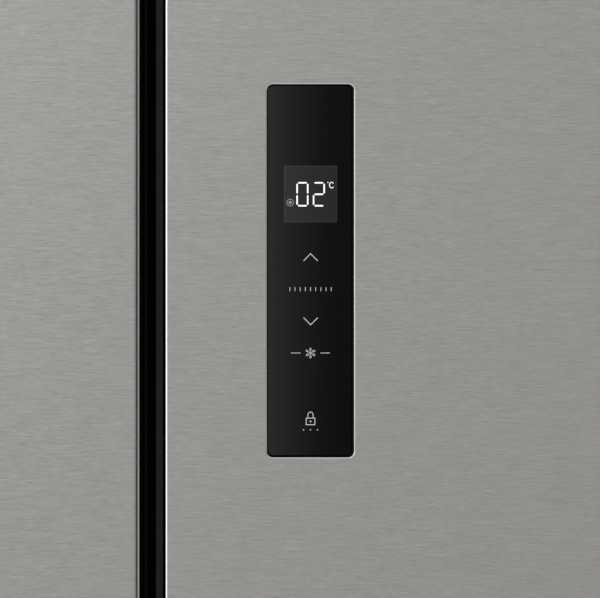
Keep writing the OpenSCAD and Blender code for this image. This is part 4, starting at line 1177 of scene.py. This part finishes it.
class FRIDGE_OT_stage(Undoable, bpy.types.Operator):
    """Floor, room light, lamps and camera"""

    bl_idname = "fridge.stage"
    bl_label = "Stage"

    def execute(self, context):
        scene, studio = context.scene, context.scene.fridge_studio
        scene.view_settings.view_transform = "Standard"
        half = studio.floor_size / 2
        bm = bmesh.new()
        corners = ((-half, -half), (half, -half), (half, half), (-half, half))
        bm.faces.new([bm.verts.new((x, y, 0.0)) for x, y in corners])
        floor = linked("floor", mesh_of("floor", bm))
        floor.data.materials.append(material("floor", self.floor_finish))
        self.room(scene, studio)
        self.lamp("key", studio.key_power)
        self.lamp("side", studio.side_power)
        data = bpy.data.cameras.new("camera")
        data.lens = data.sensor_width * CAMERA_AWAY / SEEN_W
        data.clip_start, data.clip_end = 0.1, 200
        scene.camera = linked("camera", data)
        scene.camera.location = (SEEN_MIDDLE[0], FRONT - CAMERA_AWAY, SEEN_MIDDLE[1])
        scene.camera.rotation_euler = (math.pi / 2, 0, 0)
        return {"FINISHED"}

    def floor_finish(self, g):
        """Pale, matt and barely mottled."""
        cloud = g.noise(0.8, 3.0)
        return {
            "Base Color": g.tint((0.78, 0.78, 0.775), cloud, 0.015),
            "Roughness": 0.7 + (cloud - 0.5) * 0.1,
        }

    def lamp(self, name, strength):
        """An oblong lamp in its place, turned to what it faces."""
        place, target, size = LAMPS[name]
        data = bpy.data.lights.new(name + "_lamp", "AREA")
        data.shape = "RECTANGLE"
        data.size, data.size_y = size
        data.energy = strength
        lamp = linked(name + "_lamp", data)
        lamp.location = place
        lamp.rotation_euler = (Vector(target) - Vector(place)).to_track_quat("-Z", "Y").to_euler()

    def room(self, scene, studio):
        """Plain light from all round. The camera, glass and what is shiny see a pale room, which
        for what is shiny is darker to the right."""
        world = bpy.data.worlds.new("room")
        world.use_nodes = True
        scene.world = world
        g = Graph(world.node_tree)
        way = g.node("ShaderNodeTexCoord")
        x, z = (g.node("ShaderNodeSeparateXYZ", None, {0: way}, output=i) for i in (0, 2))
        camera, glossy, through = (
            g.node("ShaderNodeLightPath", output=f"Is {kind} Ray")
            for kind in ("Camera", "Glossy", "Transmission")
        )
        seen = camera + through
        shine = g.ramp(x, -1.0, 1.0, 1.0, 0.26) + g.ramp(z, -0.6, 0.6, -0.08, 0.08)
        strength = studio.fill * (1 - glossy) + glossy * shine
        strength = strength * (1 - seen) + seen * 0.94
        inputs = {"Color": (1.0, 0.995, 0.985, 1.0), "Strength": strength}
        back = g.node("ShaderNodeBackground", None, inputs)
        g.node("ShaderNodeOutputWorld", None, {"Surface": back})


class FRIDGE_OT_door_fronts(Undoable, bpy.types.Operator):
    """Steel fronts with their lips, the grips behind them and the end caps"""

    bl_idname = "fridge.door_fronts"
    bl_label = "Door fronts"

    def execute(self, context):
        for door in SIDES:
            skin = smoothed(steel_skin(door, hole=door == "fridge_door"), 25)
            seat(skin, door, "steel_front", [door + "_skin"])
            seat(smoothed(grip(door), 40), door, SLOT_OF[door + "_grip"], [door + "_grip"])
            dressed(door + "_caps", context.scene.fridge_sizes.edge / 2)
        return {"FINISHED"}


class FRIDGE_OT_door_insides(Undoable, bpy.types.Operator):
    """Inner panels, foam, seals and bins of the doors"""

    bl_idname = "fridge.door_insides"
    bl_label = "Door insides"

    def execute(self, context):
        edge = context.scene.fridge_sizes.edge
        for door in SIDES:
            dressed(door + "_insulation", 0.0)
            dressed(door + "_liner", edge * 2, 3)
            dressed(door + "_bins", edge)
            seal = smoothed(bellows_seal(door), 40)
            seat(seal, door, SLOT_OF[door + "_seal"], [door + "_seal"])
        return {"FINISHED"}


class FRIDGE_OT_control_panel(Undoable, bpy.types.Operator):
    """Housing, glass, display and the marks on the glass"""

    bl_idname = "fridge.control_panel"
    bl_label = "Control panel"

    def execute(self, context):
        dressed("control_housing", 0.0003)
        dressed("display_module", 0.0003)
        dressed("control_board", 0.0002)
        low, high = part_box("control_glass")
        x = (low.x + GLASS_GAP, high.x - GLASS_GAP)
        z = (low.z + GLASS_GAP, high.z - GLASS_GAP)
        glass = plate("panel_glass", x, z, low.y, high.y, WINDOW_R - GLASS_R, GLASS_R)
        seat(smoothed(glass, 30), "fridge_door", "panel_glass", ["control_glass"])
        sizes = context.scene.fridge_sizes
        for name, look, draw in (
            ("display_figures", "lit_segments", lambda bm: self.figures(bm, sizes)),
            ("display_symbol", "dim_segments", self.symbol),
            ("panel_arrows", "printed_marks", self.arrows),
            ("panel_snowflake", "printed_marks", self.snowflake),
            ("panel_padlock", "printed_marks", self.padlock),
        ):
            bm = bmesh.new()
            draw(bm)
            seat(new_piece(name, bm), "fridge_door", "display_black", look=look)
        self.scale(sizes.ticks)
        return {"FINISHED"}

    def figures(self, bm, sizes):
        """The two figures and the degree sign with its letter."""
        for digit in FIGURES:
            figure(bm, digit, sizes.figure_wide * 1000, sizes.figure_high * 1000)
        dot(bm, *DEGREE, 0.34, 16)
        a, b = LETTER
        arc = arc_points(a, b, 1.62, 38, 322)
        stroke(bm, [(a + (p - a) * 0.77, q) for p, q in arc], 0.48)

    def symbol(self, bm):
        """The ring and spot beside the figures."""
        stroke(bm, circle_points(*SYMBOL, 1.95), 0.42, closed=True)
        dot(bm, *SYMBOL, 0.95, 28)

    def arrows(self, bm):
        """The arrows that set the display up and down."""
        for arrow in ARROWS:
            stroke(bm, arrow, 0.45)

    def snowflake(self, bm):
        """A snowflake with six barbed arms, between two dashes."""
        hub = Vector((KEYS_MIDDLE, FLAKE_DOWN))
        for k in range(6):
            t = math.radians(60 * k + 30)
            away = Vector((math.cos(t), math.sin(t)))
            side = Vector((-away.y, away.x))
            if k < 3:
                stroke(bm, [hub - away * FLAKE_ARM, hub + away * FLAKE_ARM], 0.34)
            for reach in (1.3, 2.1):
                for turn in (-1, 1):
                    foot = hub + away * reach
                    stroke(bm, [foot, foot + away * 0.65 + side * 0.65 * turn], 0.26)
        for start, end in FLAKE_DASHES:
            stroke(bm, [(start, FLAKE_DOWN), (end, FLAKE_DOWN)], 0.34)

    def padlock(self, bm):
        """A padlock over three spots."""
        body = [(22.9, 193.6), (27.9, 193.6), (27.9, 197.4), (22.9, 197.4)]
        stroke(bm, body, 0.45, closed=True)
        bow = arc_points(KEYS_MIDDLE, 191.6, 1.5, 180, 0, 14)
        stroke(bm, [(23.9, 193.4), *bow, (26.9, 193.4)], 0.42)
        dot(bm, KEYS_MIDDLE, 195.5, 0.5, 14)
        for a in (KEYS_MIDDLE - 4, KEYS_MIDDLE, KEYS_MIDDLE + 4):
            dot(bm, a, 200.4, 0.36, 12)

    def scale(self, ticks):
        """A row of upright marks between the arrows."""
        bm = bmesh.new()
        stroke(bm, [(0, -1.15), (0, 1.15)], 0.36)
        tick = new_piece("tick", bm)
        home = mark_point(0, 0)
        for v in tick.data.vertices:
            v.co.x -= home.x
            v.co.z -= home.y
        start = mark_point(KEYS_MIDDLE - SCALE_W / 2, SCALE_DOWN)
        scale = repeated(
            "panel_scale", repeat_tree("row", rows=True), tick, "printed_marks", Count=ticks,
            Start=(start.x, 0.0, start.y), Step=(SCALE_W / 1000 / (ticks - 1), 0.0, 0.0),
        )
        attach(scale, "fridge_door")


class FRIDGE_OT_cabinet(Undoable, bpy.types.Operator):
    """Case, back, foam, inner liners, base frame and kickplate"""

    bl_idname = "fridge.cabinet"
    bl_label = "Cabinet"

    def execute(self, context):
        edge = context.scene.fridge_sizes.edge
        dressed("outer_case", edge * 2, 3)
        dressed("rear_panel", 0.0002)
        dressed("cabinet_insulation", 0.0)
        for node in ("freezer_liner", "fridge_liner"):
            dressed(node, edge * 2, 3)
        dressed("divider_cover", 0.0002)
        dressed("chassis", 0.0)
        dressed("kickplate", edge / 2)
        return {"FINISHED"}


class FRIDGE_OT_hinges(Undoable, bpy.types.Operator):
    """Hinges, their covers and the screws"""

    bl_idname = "fridge.hinges"
    bl_label = "Hinges and screws"

    def execute(self, context):
        for place in ("top", "bottom"):
            for side in ("left", "right"):
                dressed(f"{place}_hinge_{side}", 0.0003)
        dressed("hinge_covers", context.scene.fridge_sizes.edge * 2, 3)
        self.screws()
        return {"FINISHED"}

    def screws(self):
        """A head with a cross for each screw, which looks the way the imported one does."""
        places, ways = [], []
        for solid in islands(frame["nodes"]["cabinet_screws"].data):
            low = Vector(min(p[i] for p in solid) for i in range(3))
            high = Vector(max(p[i] for p in solid) for i in range(3))
            size = high - low
            i = min(range(3), key=lambda k: size[k])
            # The head is the end with the wider ring of points
            centre = (low + high) / 2
            wide = max((p - centre).length for p in solid)
            head = [p[i] for p in solid if (p - centre).length > wide * 0.8]
            way = Vector((0, 0, 0))
            way[i] = 1.0 if sum(head) / len(head) > centre[i] else -1.0
            place = centre.copy()
            place[i] = (high if way[i] > 0 else low)[i] - way[i] * SCREW_HEAD_H
            places.append(place)
            ways.append(way)
        mesh = bpy.data.meshes.new("screw_places")
        mesh.from_pydata([tuple(p) for p in places], [], [])
        data = mesh.attributes.new("way", "FLOAT_VECTOR", "POINT").data
        for item, way in zip(data, ways):
            item.vector = way
        tree = repeat_tree("scatter")
        piece = repeated("cabinet_screw_heads", tree, screw_head(), "zinc_steel", mesh)
        smoothed(piece, 30)
        seat(piece, "cabinet", SLOT_OF["cabinet_screws"], ["cabinet_screws"])


class FRIDGE_OT_shelves(Undoable, bpy.types.Operator):
    """Glass shelves and their trims"""

    bl_idname = "fridge.shelves"
    bl_label = "Shelves"

    def execute(self, context):
        for room in ("freezer", "fridge"):
            dressed(room + "_shelves", 0.0005)
            dressed(room + "_shelf_trims", context.scene.fridge_sizes.edge)
        return {"FINISHED"}


class FRIDGE_OT_drawers(Undoable, bpy.types.Operator):
    """Drawers and crispers"""

    bl_idname = "fridge.drawers"
    bl_label = "Drawers"

    def execute(self, context):
        for kind in ("freezer_drawer", "crisper"):
            for level in ("lower", "upper"):
                dressed(f"{kind}_{level}", context.scene.fridge_sizes.edge)
        return {"FINISHED"}


class FRIDGE_OT_air(Undoable, bpy.types.Operator):
    """Duct covers, lamps, evaporator and its fan"""

    bl_idname = "fridge.air"
    bl_label = "Cold air"

    def execute(self, context):
        edge = context.scene.fridge_sizes.edge
        for node in ("freezer_duct_cover", "fridge_duct_cover"):
            dressed(node, edge)
        dressed("interior_lamps", edge * 2, 3)
        dressed("evaporator", 0.0)
        dressed("evaporator_fan", 0.0003)
        dressed("evaporator_fan_motor", 0.0004)
        return {"FINISHED"}


class FRIDGE_OT_machine_bay(Undoable, bpy.types.Operator):
    """Compressor, condenser, pipes, tray, power box, cover and gland"""

    bl_idname = "fridge.machine_bay"
    bl_label = "Machine bay"

    def execute(self, context):
        for node in ("compressor", "condenser", "refrigerant_pipes", "machine_cover"):
            dressed(node, 0.0)
        for node in ("compressor_grommets", "condenser_fan_frame", "condenser_fan", "mains_gland"):
            dressed(node, 0.0003)
        for node in ("drip_tray", "power_board_box"):
            dressed(node, context.scene.fridge_sizes.edge)
        return {"FINISHED"}


class FRIDGE_OT_feet(Undoable, bpy.types.Operator):
    """Levelling feet and rear rollers"""

    bl_idname = "fridge.feet"
    bl_label = "Feet and rollers"

    def execute(self, context):
        for kind in ("foot", "roller"):
            for side in ("left", "right"):
                dressed(f"{kind}_{side}", 0.0003)
        return {"FINISHED"}


OPERATORS = (
    FRIDGE_OT_stage, FRIDGE_OT_door_fronts, FRIDGE_OT_door_insides, FRIDGE_OT_control_panel,
    FRIDGE_OT_cabinet, FRIDGE_OT_hinges, FRIDGE_OT_shelves, FRIDGE_OT_drawers, FRIDGE_OT_air,
    FRIDGE_OT_machine_bay, FRIDGE_OT_feet,
)
GROUPS = {
    "fridge_finish": FRIDGE_PG_finish,
    "fridge_sizes": FRIDGE_PG_sizes,
    "fridge_studio": FRIDGE_PG_studio,
}


class FRIDGE_PT_panel(bpy.types.Panel):
    """Lists the pieces and their sizes and colours"""

    bl_idname = "FRIDGE_PT_panel"
    bl_label = "Fridge freezer"
    bl_space_type = "VIEW_3D"
    bl_region_type = "UI"
    bl_category = "Fridge"

    def draw(self, context):
        for name, group in GROUPS.items():
            values = getattr(context.scene, name)
            for key in group.__annotations__:
                self.layout.prop(values, key)
        for operator in OPERATORS:
            self.layout.operator(operator.bl_idname)


def register():
    for kind in (*GROUPS.values(), *OPERATORS, FRIDGE_PT_panel):
        bpy.utils.register_class(kind)
    for name, kind in GROUPS.items():
        setattr(bpy.types.Scene, name, PointerProperty(type=kind))


def unregister():
    for name in GROUPS:
        delattr(bpy.types.Scene, name)
    for kind in reversed((*GROUPS.values(), *OPERATORS, FRIDGE_PT_panel)):
        bpy.utils.unregister_class(kind)


def main():
    register()
    for operator in OPERATORS:
        name = operator.bl_idname.split(".")[1]
        if getattr(bpy.ops.fridge, name)() != {"FINISHED"}:
            raise RuntimeError(f"{name} did not finish")


if __name__ == "__main__":
    main()
